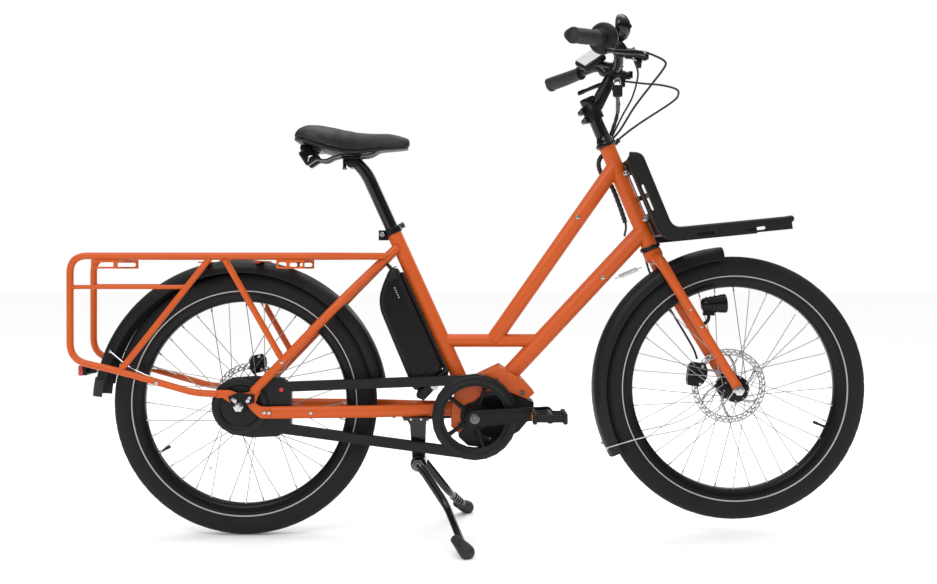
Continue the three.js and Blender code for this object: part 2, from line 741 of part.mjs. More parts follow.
function makeRiser() {
  const low = onHead(HEAD_LENGTH + 1.5);
  const tube = rod(onHead(HEAD_LENGTH + 10), onHead(HEAD_LENGTH + 118), RISER_RADIUS);
  const cup = rod(low, onHead(HEAD_LENGTH + 14), 22);
  const bore = rod(onHead(HEAD_LENGTH - 5), onHead(HEAD_LENGTH + 9 + GAP), STEERER_RADIUS + GAP);
  const cap = rod(onHead(HEAD_LENGTH + 110), onHead(HEAD_LENGTH + 126), RISER_RADIUS + 1.5);
  return joined([tube, cup, cap]).subtract(bore);
}

function makeStem() {
  const low = onHead(HEAD_LENGTH + 70);
  const high = onHead(HEAD_LENGTH + 108);
  const collar = rod(low, high, RISER_RADIUS + 6);
  const arm = rod(onHead(HEAD_LENGTH + 88), BAR_CLAMP, 14, 12, 12);
  const clamp = rod(BAR_CLAMP.clone().setY(-22), BAR_CLAMP.clone().setY(22), BAR_RADIUS + 7);
  const bore = rod(onHead(HEAD_LENGTH + 60), onHead(HEAD_LENGTH + 128), RISER_RADIUS + GAP);
  const barBore = rod(BAR_CLAMP.clone().setY(-40), BAR_CLAMP.clone().setY(40), BAR_RADIUS + 3 * GAP);
  const capCutter = rod(onHead(HEAD_LENGTH + 109.5), onHead(HEAD_LENGTH + 140), RISER_RADIUS + 2);
  return cutBy(joined([collar, arm, clamp]), [bore, barBore, capCutter]);
}

const GRIP_INNER = v(288, 200, 1140);
const GRIP_END = v(212, 306, 1124);
const GRIP_WAY = GRIP_END.clone().sub(GRIP_INNER).normalize();

function barPoint(side, distance) {
  const place = GRIP_INNER.clone().addScaledVector(GRIP_WAY, distance);
  return v(place.x, side * place.y, place.z);
}

// the bar, with the clamp bodies of the two brake levers on it
function makeHandlebar() {
  const half = (side) => [
    barPoint(side, 122), barPoint(side, -45), v(333, side * 132, 1135), v(342, side * 70, 1108),
    v(BAR_CLAMP.x, side * 34, BAR_CLAMP.z),
  ];
  const points = [...half(RIGHT), ...half(LEFT).reverse()];
  const parts = [bentRod(points, 24, BAR_RADIUS, 10, 2)];
  for (const side of [RIGHT, LEFT]) {
    parts.push(rod(v(346, side * 112, 1125), v(324, side * 140, 1138), 17, 17, 16));
    parts.push(box(v(344, side * 122 - 13, 1107), v(380, side * 122 + 13, 1130)));
  }
  return joined(parts);
}

function makeGrip(side) {
  const body = rod(barPoint(side, 8), barPoint(side, 131), GRIP_RADIUS, GRIP_RADIUS + 1);
  const bore = rod(barPoint(side, 0), barPoint(side, 123), BAR_RADIUS + GAP);
  return body.subtract(bore);
}

function makeTwistShifter() {
  const body = rod(barPoint(RIGHT, -18), barPoint(RIGHT, 7), 35, 35, 24);
  const bore = rod(barPoint(RIGHT, -30), barPoint(RIGHT, 20), BAR_RADIUS + 1.2);
  return body.subtract(bore);
}

// a brake lever blade, hinged on its clamp body, reaching out in front of the grip
function makeBrakeLever(side) {
  return bentRod([
    v(398, side * 122, 1118), v(380, side * 160, 1116), v(330, side * 212, 1108), v(285, side * 280, 1098),
  ], 20, 5, 8);
}

// a domed bell, facing outwards and a little forwards, on a short post
function makeBell() {
  const dome = new THREE.SphereGeometry(29, 16, 10);
  dome.scale(1, 0.8, 1);
  const half = geometryOf(solid(dome).intersect(box(v(-40, 0, -40), v(40, 40, 40))));
  half.rotateZ(Math.PI + 0.5);
  half.translate(345, -148, 1177);
  return solid(half).add(rod(v(350, -157, 1174), v(336, -139, 1155.5), 6, 6, 10));
}

function makeDisplay() {
  const body = new THREE.BoxGeometry(62, 78, 20);
  body.rotateY(-THREE.MathUtils.degToRad(32));
  body.translate(284, 0, 1130);
  return solid(body).add(rod(v(300, 0, 1128), v(326, 0, 1122.5), 7, 7, 10));
}

function makeHeadlight() {
  const y = -62;
  const body = rod(v(536, y, 548), v(592, y, 552), 17, 22, 20);
  const bracket = rod(v(552, y, 536), v(551, y, 508), 5, 5, 10);
  return joined([body, bracket]);
}

// a brake caliper with the slit that its disc runs in
function makeCaliper(middle, halfLength, halfHeight, wheelX, wheelZ) {
  const reach = v(halfLength, 13, halfHeight);
  const body = box(middle.clone().sub(reach), middle.clone().add(reach));
  const low = v(wheelX, middle.y - 2.5, wheelZ);
  const high = v(wheelX, middle.y + 2.5, wheelZ);
  return body.subtract(rod(low, high, ROTOR_RADIUS + 2, ROTOR_RADIUS + 2, 48));
}

// ---- front tray ---------------------------------------------------------------------------

// an L-shaped tray: a back frame along the head tube and a slotted floor that points forward
function makeFrontTray() {
  const half = 150;
  const side = [
    [384, 902], [396, 871], [456, 724], [466, 721], [736, 748], [747, 732], [447, 694], [434, 698],
    [354, 887], [366, 902],
  ];
  const whole = plate(outline(side), -half, half);
  const backWindow = plate(outline([
    [300, 870], [420, 870], [470, 762], [340, 762],
  ]), -half + 34, half - 34);
  const slots = [];
  for (let i = -2; i <= 2; i += 1) {
    slots.push(box(v(505, i * 54 - 16, 600), v(700, i * 54 + 16, 800)));
  }
  const hollow = plate(outline([[470, 700], [466, 712], [728, 739.5], [736, 700]]), -half + 12, half - 12);
  const arms = [182, 64].map((distance) => {
    const arm = new THREE.BoxGeometry(40, 32, 18);
    arm.translate(20, 0, 0);
    arm.rotateY(HEAD_ANGLE - Math.PI / 2);
    const at = onHead(distance);
    return solid(arm.translate(at.x, 0, at.z));
  });
  const tray = cutBy(whole, [backWindow, hollow, ...slots]);
  return joined([tray, ...arms]).subtract(headCutter);
}

// ---- stand --------------------------------------------------------------------------------

function makeStandBracket() {
  const stem = plate(outline([
    [-158, 283], [-104, 283], [-108, 262], [-110, 180], [-140, 180], [-146, 262],
  ]), -20, 20);
  const top = box(v(-160, -46, 276), v(-100, 46, 283.5));
  const barrel = rod(v(STAND_X, -36, STAND_Z), v(STAND_X, 36, STAND_Z), 19);
  const bore = rod(v(STAND_X, -60, STAND_Z), v(STAND_X, 60, STAND_Z), 11 + GAP);
  return joined([stem, top, barrel]).subtract(bore);
}

function makeKickstand() {
  const parts = [rod(v(STAND_X, -56, STAND_Z), v(STAND_X, 56, STAND_Z), 11)];
  for (const side of [RIGHT, LEFT]) {
    const foot = v(-16, side * FOOT_Y, 18);
    parts.push(bentRod([
      v(STAND_X, side * 48, STAND_Z), v(-112, side * 56, 160), v(-57, side * 86, 84), foot,
    ], 24, 9, 10));
    parts.push(rod(v(-38, side * 182, 34), v(-8, side * 224, 12), 10, FOOT_RADIUS, 16));
  }
  const floor = box(v(-200, -300, -60), v(200, 300, 0));
  return joined(parts).subtract(floor);
}

// ---- hoses and spring ---------------------------------------------------------------------

// both brake hoses and the clip that holds them together beside the head tube; the front one
// runs on down the fork to its caliper, the rear one behind the head tube into the down tube
function makeBrakeHoses() {
  const front = bentRod([
    v(386, -122, 1128), v(413, -115, 1121), v(444, -96, 1110), v(446, -78, 1098), v(420, -45, 1062),
    v(388, -10, 1018), v(360, 16, 970), v(332, 28, 932), v(416, 30, 700), v(424, 36, 650),
    v(452, 62, 592), v(536, 64, 452), v(549, 45, 414),
  ], 30, 2.6, 6, 2);
  const rear = bentRod([
    v(386, 122, 1102), v(430, 112, 1095), v(470, 94, 1088), v(503, 78, 1076), v(508, 68, 1062),
    v(490, 54, 1040), v(409, 35, 986), v(366, 32, 954), v(336, 29, 926), v(308, 26, 900), v(312, 26, 868), v(336, 25, 834), v(369, 14, 748), v(366, 0, 711),
  ], 26, 2.6, 6, 2);
  const clip = rod(v(336, 28, 931), v(331, 28, 922), 7, 7, 10);
  return joined([front, rear, clip]);
}

function makeSteeringSpring() {
  return rod(v(345, 0, 610), v(405, 0, 636), 5.5, 5.5, 12);
}

// ---- assembly -----------------------------------------------------------------------------

add("head_tube", makeHeadTube(), orangePaint);
add("upper_tube", makeUpperTube(), orangePaint);
add("down_tube", makeDownTube(), orangePaint);
add("cross_tube", makeCrossTube(), orangePaint);
add("seat_tube", makeSeatTube(), orangePaint);
add("motor_bracket", makeMotorBracket(), orangePaint);
for (const [word, side] of [["right", RIGHT], ["left", LEFT]]) {
  add(`${word}_seat_stay`, makeSeatStay(side), orangePaint);
  add(`${word}_chain_stay`, makeChainStay(side), orangePaint);
  add(`${word}_rack_loop`, makeRackLoop(side), orangePaint);
  add(`${word}_rack_braces`, makeRackBraces(side), orangePaint);
}
add("rear_rack_bridge", makeRackBridge(-881, -820, [[-850.5, 50]]), orangePaint);
add("front_rack_bridge", makeRackBridge(-452, -387, [[-438, 20], [-407, 32]]), orangePaint);

// the lens block, with the stem that holds it to the mudguard
function makeTailLight() {
  return box(v(-932, -24, 379), v(-912, 24, 404)).add(box(v(-913, -10, 384), v(-899, 10, 396)));
}

const rearGuard = groupAt(-548, 0, 305);
add("rear_fender", ringSector(mudguardProfile(350), 44, 11, 171, 400), blackPlastic, rearGuard);
add("tail_light", makeTailLight(), redLens);

add("battery_dock", makeBatteryDock(), blackPlastic);
add("battery", makeBattery(), blackPlastic);
add("motor", makeMotor(), blackPlastic);
add("chain_case", makeChainCase(), blackPlastic);
add("chain", makeChain(), steel);
add("stand_bracket", makeStandBracket(), blackPaint);
add("kickstand", makeKickstand(), blackPaint);
add("front_rack", makeFrontTray(), blackPlastic);

function makeSprocket() {
  const teeth = rod(v(0, CHAIN_Y - 1.5, 0), v(0, CHAIN_Y + 1.5, 0), 35.5, 35.5, 24);
  const boss = rod(v(0, CHAIN_Y - 6, 0), v(0, CHAIN_Y + 8, 0), 18);
  return teeth.add(boss).subtract(rod(v(0, -99, 0), v(0, 0, 0), 5.6));
}

// the fixed axle, its nuts and the slider plates that hold it in the dropouts
function makeRearAxle() {
  const shaft = rod(v(0, -96, 0), v(0, 96, 0), 5, 5, 12);
  const parts = [shaft];
  for (const side of [RIGHT, LEFT]) {
    const slider = outline([
      [-24, 24], [-16, 6], [-14, -14], [14, -14], [20, 6], [36, 10], [36, 28], [0, 34],
    ]);
    parts.push(plate(slider, side * 83, side * 88.5));
    parts.push(rod(v(0, side * 88, 0), v(0, side * 96, 0), 10, 10, 6));
  }
  return joined(parts);
}

const rearWheel = groupAt(REAR_AXLE_X, 0, REAR_AXLE_Z);
add("rear_axle", makeRearAxle(), steel, rearWheel);
add("rear_tyre", makeTyre(), tyreRubber, rearWheel);
add("rear_rim", makeWheel([
  [0, -44], [40, -44], [46, -38], [52, -34], [52, 30], [46, 34], [30, 40], [22, 61], [0, 61],
], 5.6, [{ radius: 49, y: -31 }, { radius: 49, y: 27 }]), blackPaint, rearWheel);
add("rear_rotor", makeRotor(), steel, rearWheel).position.set(0, REAR_ROTOR_Y, 0);
add("rear_sprocket", makeSprocket(), steel, rearWheel);
add("rear_caliper", makeCaliper(v(-521, REAR_ROTOR_Y, 401), 26, 20, REAR_AXLE_X, REAR_AXLE_Z), blackPaint);

const frontWheel = groupAt(FRONT_AXLE_X, 0, FRONT_AXLE_Z);
add("front_tyre", makeTyre(), tyreRubber, frontWheel);
add("front_rim", makeWheel([
  [0, -41], [12, -41], [14, -34], [30, -32], [30, -28], [17, -24],
  [17, 22], [30, 26], [30, 30], [24, 38], [0, 38],
], 5.6, [{ radius: 27, y: -30 }, { radius: 27, y: 28 }]), blackPaint, frontWheel);
add("front_rotor", makeRotor(), steel, frontWheel).position.set(0, FRONT_ROTOR_Y, 0);

add("fork", makeFork(), orangePaint);
add("riser", makeRiser(), blackPaint);
add("stem", makeStem(), blackPaint);
add("handlebar", makeHandlebar(), blackPaint);
for (const [word, side] of [["right", RIGHT], ["left", LEFT]]) {
  add(`${word}_grip`, makeGrip(side), blackRubber);
  add(`${word}_brake_lever`, makeBrakeLever(side), blackPaint);
}
add("twist_shifter", makeTwistShifter(), blackRubber);
add("bell", makeBell(), glossBlack);
add("display", makeDisplay(), blackPlastic);
add("headlight", makeHeadlight(), blackPlastic);
const frontGuard = groupAt(FRONT_AXLE_X, 0, FRONT_AXLE_Z);
add("front_fender", ringSector(mudguardProfile(337), 44, 95, 209, 400), blackPlastic, frontGuard);
add("front_caliper", makeCaliper(v(547, FRONT_ROTOR_Y, 377), 24, 34, FRONT_AXLE_X, FRONT_AXLE_Z), blackPaint);
add("steering_spring", makeSteeringSpring(), steel);
add("brake_hoses", makeBrakeHoses(), blackRubber);

const crankset = groupAt(CRANK_X, 0, CRANK_Z);
add("chainring", makeChainring(), blackPaint, crankset).position.set(0, CHAIN_Y, 0);
add("right_crank", makeCrank(RIGHT, true), blackPaint, crankset);
add("left_crank", makeCrank(LEFT, false), blackPaint, crankset);
for (const [word, side] of [["right", RIGHT], ["left", LEFT]]) {
  add(`${word}_pedal`, makePedal(side), blackPlastic, crankset).position.copy(crankEnd(side));
}

add("seat_post", makeSeatPost(), blackPaint);
add("saddle_rails", makeSaddleRails(), blackPaint);
add("saddle", makeSaddle(), blackPlastic);
add("seat_quick_release", makeQuickRelease(), steel);

export default bicycle;
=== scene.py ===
# Electric cargo bicycle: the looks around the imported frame. Metres, +X forward, +Y left, +Z up.

import json
import math
from math import cos, pi, radians, sin

import bmesh
import bpy
from mathutils import Matrix, Vector


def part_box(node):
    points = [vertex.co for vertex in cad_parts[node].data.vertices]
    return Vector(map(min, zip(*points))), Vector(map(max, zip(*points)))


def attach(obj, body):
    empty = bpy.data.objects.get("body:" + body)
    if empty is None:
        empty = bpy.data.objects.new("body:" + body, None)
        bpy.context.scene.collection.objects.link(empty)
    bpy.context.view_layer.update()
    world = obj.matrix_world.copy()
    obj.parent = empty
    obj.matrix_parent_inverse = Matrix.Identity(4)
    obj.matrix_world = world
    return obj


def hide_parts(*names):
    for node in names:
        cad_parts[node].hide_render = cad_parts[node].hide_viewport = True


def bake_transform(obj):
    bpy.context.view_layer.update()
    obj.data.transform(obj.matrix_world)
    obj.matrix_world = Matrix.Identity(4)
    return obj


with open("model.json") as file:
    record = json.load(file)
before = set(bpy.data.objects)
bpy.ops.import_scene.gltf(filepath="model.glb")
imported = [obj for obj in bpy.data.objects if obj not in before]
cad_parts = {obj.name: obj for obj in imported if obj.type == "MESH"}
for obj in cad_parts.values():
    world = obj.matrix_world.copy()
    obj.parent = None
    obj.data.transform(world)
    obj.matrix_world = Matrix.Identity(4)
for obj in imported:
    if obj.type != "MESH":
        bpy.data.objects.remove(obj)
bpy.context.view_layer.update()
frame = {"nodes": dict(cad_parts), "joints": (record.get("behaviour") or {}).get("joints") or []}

SIDES = (("right", -1), ("left", 1))
X, Y, Z = Vector((1, 0, 0)), Vector((0, 1, 0)), Vector((0, 0, 1))

joints = {joint["name"]: joint for joint in frame["joints"]}


def point(x, y, z):
    return Vector((x, y, z))


def mm(x, y, z):
    return Vector((x / 1000, y / 1000, z / 1000))


def polar(radius, angle, y=0.0):
    """A point on a circle in the side view."""
    return Vector((radius * cos(angle), y, radius * sin(angle)))


def hinge(name):
    return Vector(joints[name]["pos_m"])


# ---- places and sizes from the frame ---------------------------------------------------------

HEAD_BOTTOM = hinge("steering")
HEAD_UP = Vector(joints["steering"]["axis"]).normalized()
HEAD_FRONT = HEAD_UP.cross(Y) * -1
SEAT_UP = Vector(joints["seat_height"]["axis"]).normalized()
SEAT_BACK = Y.cross(SEAT_UP) * -1
REAR = hinge("rear_wheel_spin")
FRONT = hinge("front_wheel_spin")
CRANK = hinge("crank_spin")
STAND_PIVOT = hinge("kickstand_fold")
TYRE_RADIUS = REAR.z
TYRE_HALF = 0.029
RIM_RADIUS = 0.257
RIM_INNER = 0.240
ROTOR_RADIUS = 0.090
RACK_Y = 0.078
RACK_TOP = 0.6625
RACK_REAR = -0.930
STAY_Y = 0.0795
SEAT_TOP = mm(-188, 0, 725)
CHAIN_Y = -0.056
CHAIN_FRONT = 0.087
CHAIN_REAR = 0.040
HEAD_LENGTH = 0.258
BAR_CLAMP = mm(340, 0, 1103)
GRIP_INNER = mm(288, 200, 1140)
GRIP_END = mm(212, 306, 1124)


def on_head(distance, forward=0.0, side=0.0):
    return HEAD_BOTTOM + HEAD_UP * distance + HEAD_FRONT * forward + Y * side


def on_seat(down, back=0.0, side=0.0):
    return SEAT_TOP - SEAT_UP * down + SEAT_BACK * back + Y * side


def on_bar(side, distance):
    way = (GRIP_END - GRIP_INNER).normalized()
    place = GRIP_INNER + way * distance
    return point(place.x, side * place.y, place.z)


# ---- mesh helpers -----------------------------------------------------------------------------


def rounded(points, corner, steps=8):
    """Straight runs joined by rounded corners."""
    path = [points[0]]
    for before, here, after in zip(points, points[1:], points[2:]):
        come, go = before - here, after - here
        reach = min(corner, come.length * 0.45, go.length * 0.45)
        enter = here + come.normalized() * reach
        leave = here + go.normalized() * reach
        for i in range(steps + 1):
            t = i / steps
            path.append(enter * (1 - t) ** 2 + here * 2 * t * (1 - t) + leave * t * t)
    return path + [points[-1]]


def flowing(points, steps=8):
    """A smooth curve through every point."""
    ends = [points[0] * 2 - points[1]] + points + [points[-1] * 2 - points[-2]]
    path = []
    for a, b, c, d in zip(ends, ends[1:], ends[2:], ends[3:]):
        for i in range(steps):
            t = i / steps
            path.append((b * 2 + (c - a) * t + (a * 2 - b * 5 + c * 4 - d) * t * t
                + (b * 3 - a - c * 3 + d) * t ** 3) / 2)
    return path + [points[-1]]


def bridge(bm, first, second, closed=True):
    count = len(first)
    for i in range(count if closed else count - 1):
        bm.faces.new((first[i], first[(i + 1) % count], second[(i + 1) % count], second[i]))


def loft(bm, rings):
    """Skins a row of closed rings and closes both ends."""
    for first, second in zip(rings, rings[1:]):
        bridge(bm, first, second)
    bm.faces.new(rings[0])
    bm.faces.new(rings[-1])


def full_turn(count):
    return [2 * pi * i / count for i in range(count)]


def add_tube(bm, path, radius, sides=16, squash=1.0, flat_way=None):
    """A round or oval bar along a path; radius is one number or one per point."""
    radii = radius if isinstance(radius, list) else [radius] * len(path)
    tangents = [(path[min(i + 1, len(path) - 1)] - path[max(i - 1, 0)]).normalized()
                for i in range(len(path))]
    across = flat_way or (Y if abs(tangents[0].y) < 0.9 else X)
    across = (across - tangents[0] * across.dot(tangents[0])).normalized()
    rings = []
    for place, tangent, size in zip(path, tangents, radii):
        across = (across - tangent * across.dot(tangent)).normalized()
        other = tangent.cross(across)
        rings.append([
            bm.verts.new(place + across * (size * squash * cos(angle)) + other * (size * sin(angle)))
            for angle in full_turn(sides)
        ])
    loft(bm, rings)


def add_turned(bm, profile, origin, axis, segments=32, closed=False):
    """A body of revolution; the profile lists (radius, distance along the axis)."""
    axis = axis.normalized()
    across = X.copy() if abs(axis.y) > 0.9 else axis.orthogonal().normalized()
    other = axis.cross(across)
    rings = []
    for radius, along in profile:
        spread = [(across * cos(a) + other * sin(a)) * radius
                  for a in full_turn(segments if radius > 0 else 1)]
        rings.append([bm.verts.new(origin + axis * along + out) for out in spread])
    for first, second in zip(rings, rings[1:] + (rings[:1] if closed else [])):
        if len(first) == 1 or len(second) == 1:
            tip, ring = (first[0], second) if len(first) == 1 else (second[0], first)
            for i in range(segments):
                bm.faces.new((tip, ring[i], ring[(i + 1) % segments]))
        else:
            bridge(bm, first, second)
    for ring in (rings[0], rings[-1]):
        if not closed and len(ring) > 1:
            bm.faces.new(ring)


def lathe(bm, profile, origin, axis, segments=32, closed=False):
    """As add_turned, with the profile in millimetres."""
    add_turned(bm, [(r / 1000, along / 1000) for r, along in profile], origin, axis, segments, closed)


def add_arc(bm, profile, centre, start, stop, segments):
    """A closed profile of (radius, y) swept about the Y axis between two angles in degrees."""
    angles = [radians(start + (stop - start) * i / segments) for i in range(segments + 1)]
    loft(bm, [[bm.verts.new(centre + polar(r, angle, y)) for r, y in profile] for angle in angles])


def add_box(bm, low, high, turn=None, about=None):
    centre, size = (low + high) / 2, high - low
    matrix = Matrix.Translation(centre) @ Matrix.Diagonal((*size, 1))
    if turn:
        spin = Matrix.Translation(about or centre) @ turn.to_4x4() @ Matrix.Translation(-(about or centre))
        matrix = spin @ matrix
    bmesh.ops.create_cube(bm, size=1, matrix=matrix)


def add_plate(bm, outline, y_low, y_high, holes=()):
    """A flat outline of (x, z) points, with holes, between two Y values."""
    edges = []
    for loop in (outline, *holes):
        verts = [bm.verts.new((x, y_low, z)) for x, z in loop]
        edges += [bm.edges.new((verts[i - 1], verts[i])) for i in range(len(verts))]
    filled = bmesh.ops.triangle_fill(bm, use_beauty=True, edges=edges)
    faces = [item for item in filled["geom"] if isinstance(item, bmesh.types.BMFace)]
    raised = bmesh.ops.extrude_face_region(bm, geom=faces, use_keep_orig=True)
    up = [item for item in raised["geom"] if isinstance(item, bmesh.types.BMVert)]
    bmesh.ops.translate(bm, verts=up, vec=(0, y_high - y_low, 0))


def capsule(start, stop, start_radius, stop_radius, steps):
    """The outline round two circles, as (x, z) points."""
    way = (stop - start).normalized()
    up = way.cross(Y)
    outline = []
    for centre, radius, first in ((start, start_radius, pi / 2), (stop, stop_radius, -pi / 2)):
        for i in range(steps + 1):
            angle = first + pi * i / steps
            spot = centre + way * radius * cos(angle) + up * radius * sin(angle)
            outline.append((spot.x, spot.z))
    return outline


def ring_points(x, z, radius, count):
    return [(x + radius * cos(a), z + radius * sin(a)) for a in full_turn(count)]


def add_bolt(bm, place, way, radius=0.0042, height=0.0035):
    """A round-headed screw with a hexagonal socket."""
    socket = radius * 0.5
    profile = [(radius, 0), (radius, height * 0.55), (radius * 0.88, height * 0.88),
        (radius * 0.66, height)]
    add_turned(bm, profile + [(socket, height), (socket * 0.95, height * 0.45), (0, height * 0.45)], place,
        way, 18)


def add_washer(bm, place, way, radius=0.007, thick=0.0012):
    add_turned(bm, [(radius, 0), (radius, thick * 0.7), (radius * 0.93, thick), (0, thick)], place, way, 24)


def to_object(name, bm):
    bmesh.ops.recalc_face_normals(bm, faces=bm.faces)
    mesh = bpy.data.meshes.new(name)
    bm.to_mesh(mesh)
    bm.free()
    obj = bpy.data.objects.new(name, mesh)
    bpy.context.scene.collection.objects.link(obj)
    return obj


def settle(obj, paint, body, stands_for=None, slot=None, bevel=0.0, angle=35, segments=3):
    """Gives a piece its material, edges and body, and hides the node that it stands for; slot is not used.
    """
    obj.data.materials.clear()
    obj.data.materials.append(paint)
    obj.data.shade_smooth()
    obj.data.set_sharp_from_angle(angle=radians(angle))
    if bevel:
        edge = obj.modifiers.new("edge", "BEVEL")
        edge.width = bevel
        edge.segments = segments
        edge.limit_method = "ANGLE"
        edge.angle_limit = radians(angle)
        edge.harden_normals = False
    if body:
        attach(obj, body)
    if stands_for:
        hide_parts(stands_for)
    return obj


def piece(name, bm, paint, body="frame", stands_for=None, **finish):
    return settle(to_object(name, bm), paint, body, stands_for, **finish)


def refined(node, paint, bevel, body="frame", **finish):
    """A copy of a frame node with clean flat faces and rounded edges."""
    bm = bmesh.new()
    bm.from_mesh(frame["nodes"][node].data)
    bmesh.ops.remove_doubles(bm, verts=bm.verts, dist=2e-5)
    bmesh.ops.dissolve_limit(bm, angle_limit=radians(1.5), verts=bm.verts, edges=bm.edges, delimit=set())
    return piece(f"{node}_shape", bm, paint, body, node, bevel=bevel, **finish)


# ---- materials --------------------------------------------------------------------------------


def surface(name, colour, roughness, metallic=0.0, coat=0.0, grain=900.0, relief=0.08, mottle=0.12,
            cells=False, specular=0.5):
    """A procedural finish: uneven colour, uneven roughness and a fine relief."""
    paint = bpy.data.materials.new(name)
    paint.use_nodes = True
    nodes, links = paint.node_tree.nodes, paint.node_tree.links
    shader = nodes["Principled BSDF"]
    place = nodes.new("ShaderNodeTexCoord").outputs["Object"]
    wide = nodes.new("ShaderNodeTexNoise")
    mix = nodes.new("ShaderNodeMix")
    mix.data_type = "RGBA"
    shine = nodes.new("ShaderNodeMapRange")
    fine = nodes.new("ShaderNodeTexVoronoi" if cells else "ShaderNodeTexNoise")
    bump = nodes.new("ShaderNodeBump")
    for node, values in (
        (shader, {"Metallic": metallic, "Coat Weight": coat, "Specular IOR Level": specular,
                  "Coat Roughness": 0.12}),
        (wide, {"Scale": 14, "Detail": 6}),
        (mix, {"A": (*(c * (1 - mottle) for c in colour), 1),
               "B": (*(min(1, c * (1 + mottle)) for c in colour), 1)}),
        (shine, {"To Min": max(0.02, roughness * 0.82), "To Max": min(1, roughness * 1.18)}),
        (fine, {"Scale": grain}),
        (bump, {"Strength": relief, "Distance": 0.0004}),
    ):
        for socket, value in values.items():
            node.inputs[socket].default_value = value
    for start, stop in (
        (place, wide.inputs["Vector"]), (wide.outputs["Fac"], mix.inputs["Factor"]),
        (mix.outputs["Result"], shader.inputs["Base Color"]), (wide.outputs["Fac"], shine.inputs["Value"]),
        (shine.outputs["Result"], shader.inputs["Roughness"]), (place, fine.inputs["Vector"]),
        (fine.outputs["Distance" if cells else "Fac"], bump.inputs["Height"]),
        (bump.outputs["Normal"], shader.inputs["Normal"]),
    ):
        links.new(start, stop)
    return paint


ORANGE = surface("orange_powder_coat", (0.505, 0.079, 0.0070), 0.40, coat=0.10, grain=1400,
    relief=0.01, mottle=0.05, specular=0.28)
BLACK_ALLOY = surface("black_anodised", (0.005, 0.005, 0.0055), 0.34, metallic=0.2,
    grain=2200, relief=0.08, specular=0.25)
GLOSS_PAINT = surface("black_gloss_paint", (0.004, 0.004, 0.005), 0.16, coat=0.35,
    grain=500, relief=0.04, specular=0.3)
PLASTIC = surface("black_moulding", (0.0045, 0.0045, 0.005), 0.44, grain=1700,
    relief=0.35, cells=True, specular=0.32)
SMOOTH_PLASTIC = surface("smooth_moulding", (0.0045, 0.0045, 0.005), 0.24, grain=700,
    relief=0.05, specular=0.2)
RUBBER = surface("soft_rubber", (0.011, 0.011, 0.0125), 0.6, grain=2600, relief=0.3,
    cells=True)
TYRE = surface("tyre_rubber", (0.011, 0.011, 0.0115), 0.74, grain=1500, relief=0.4,
    mottle=0.3, specular=0.2)
REFLECTIVE = surface("reflective_band", (0.36, 0.35, 0.33), 0.4, grain=2400, relief=0.2,
    cells=True)
STEEL = surface("bright_steel", (0.62, 0.62, 0.63), 0.24, metallic=1, grain=1800,
    relief=0.12)
SPOKE_STEEL = surface("spoke_steel", (0.30, 0.30, 0.31), 0.3, metallic=0.8, grain=1800,
    relief=0.12)
DARK_STEEL = surface("dark_steel", (0.16, 0.16, 0.165), 0.34, metallic=1, grain=1200,
    relief=0.15)
LEATHER = surface("saddle_cover", (0.008, 0.008, 0.0085), 0.5, grain=1100, relief=0.5,
    cells=True)
THREAD = surface("seam_thread", (0.012, 0.012, 0.013), 0.8, grain=4000, relief=0.5,
    specular=0.3)
RED_LENS = surface("red_lens", (0.42, 0.012, 0.01), 0.1, coat=0.8, grain=320, relief=0.6,
    cells=True)
AMBER = surface("amber_reflector", (0.75, 0.27, 0.02), 0.12, coat=0.6, grain=420, relief=0.6,
    cells=True)
SCREEN = surface("display_screen", (0.40, 0.42, 0.40), 0.12, coat=0.8, grain=500,
    relief=0.02, mottle=0.04)
CLEAR_LENS = surface("clear_lens", (0.75, 0.77, 0.8), 0.06, metallic=0.5, coat=1, grain=260,
    relief=0.5, cells=True)
RED_DOT = surface("red_plug", (0.5, 0.02, 0.015), 0.35, grain=800, relief=0.1)


# ---- stage, light and camera ------------------------------------------------------------------


def make_stage():
    bm = bmesh.new()
    bmesh.ops.create_circle(bm, cap_ends=True, segments=96, radius=30)
    floor = to_object("floor", bm)
    white = surface("floor_paper", (0.97, 0.97, 0.97), 1.0, grain=60, relief=0.02, mottle=0.004)
    glow = white.node_tree.nodes["Principled BSDF"].inputs
    glow["Emission Color"].default_value = (1, 1, 1, 1)
    glow["Emission Strength"].default_value = 0.035
    floor.data.materials.append(white)


def make_room():
    """Even white light, mirrored in shiny surfaces as dark low down and bright overhead."""
    world = bpy.data.worlds.new("studio")
    bpy.context.scene.world = world
    bpy.context.scene.view_settings.view_transform = "Standard"
    world.use_nodes = True
    nodes, links = world.node_tree.nodes, world.node_tree.links
    room = nodes["Background"]
    room.inputs["Color"].default_value = (1, 1, 1, 1)
    room.inputs["Strength"].default_value = 1.0
    mirrored = nodes.new("ShaderNodeBackground")
    height = nodes.new("ShaderNodeSeparateXYZ")
    ceiling = nodes.new("ShaderNodeMapRange")
    ceiling.interpolation_type = "SMOOTHSTEP"
    for name, value in (("From Min", 0.25), ("From Max", 0.85), ("To Min", 0.10), ("To Max", 1.10)):
        ceiling.inputs[name].default_value = value
    choose = nodes.new("ShaderNodeMixShader")
    for start, stop in (
        (nodes.new("ShaderNodeTexCoord").outputs["Generated"], height.inputs["Vector"]),
        (height.outputs["Z"], ceiling.inputs["Value"]),
        (ceiling.outputs["Result"], mirrored.inputs["Strength"]),
        (nodes.new("ShaderNodeLightPath").outputs["Is Glossy Ray"], choose.inputs["Fac"]),
        (room.outputs["Background"], choose.inputs[1]), (mirrored.outputs["Background"], choose.inputs[2]),
        (choose.outputs["Shader"], nodes["World Output"].inputs["Surface"]),
    ):
        links.new(start, stop)


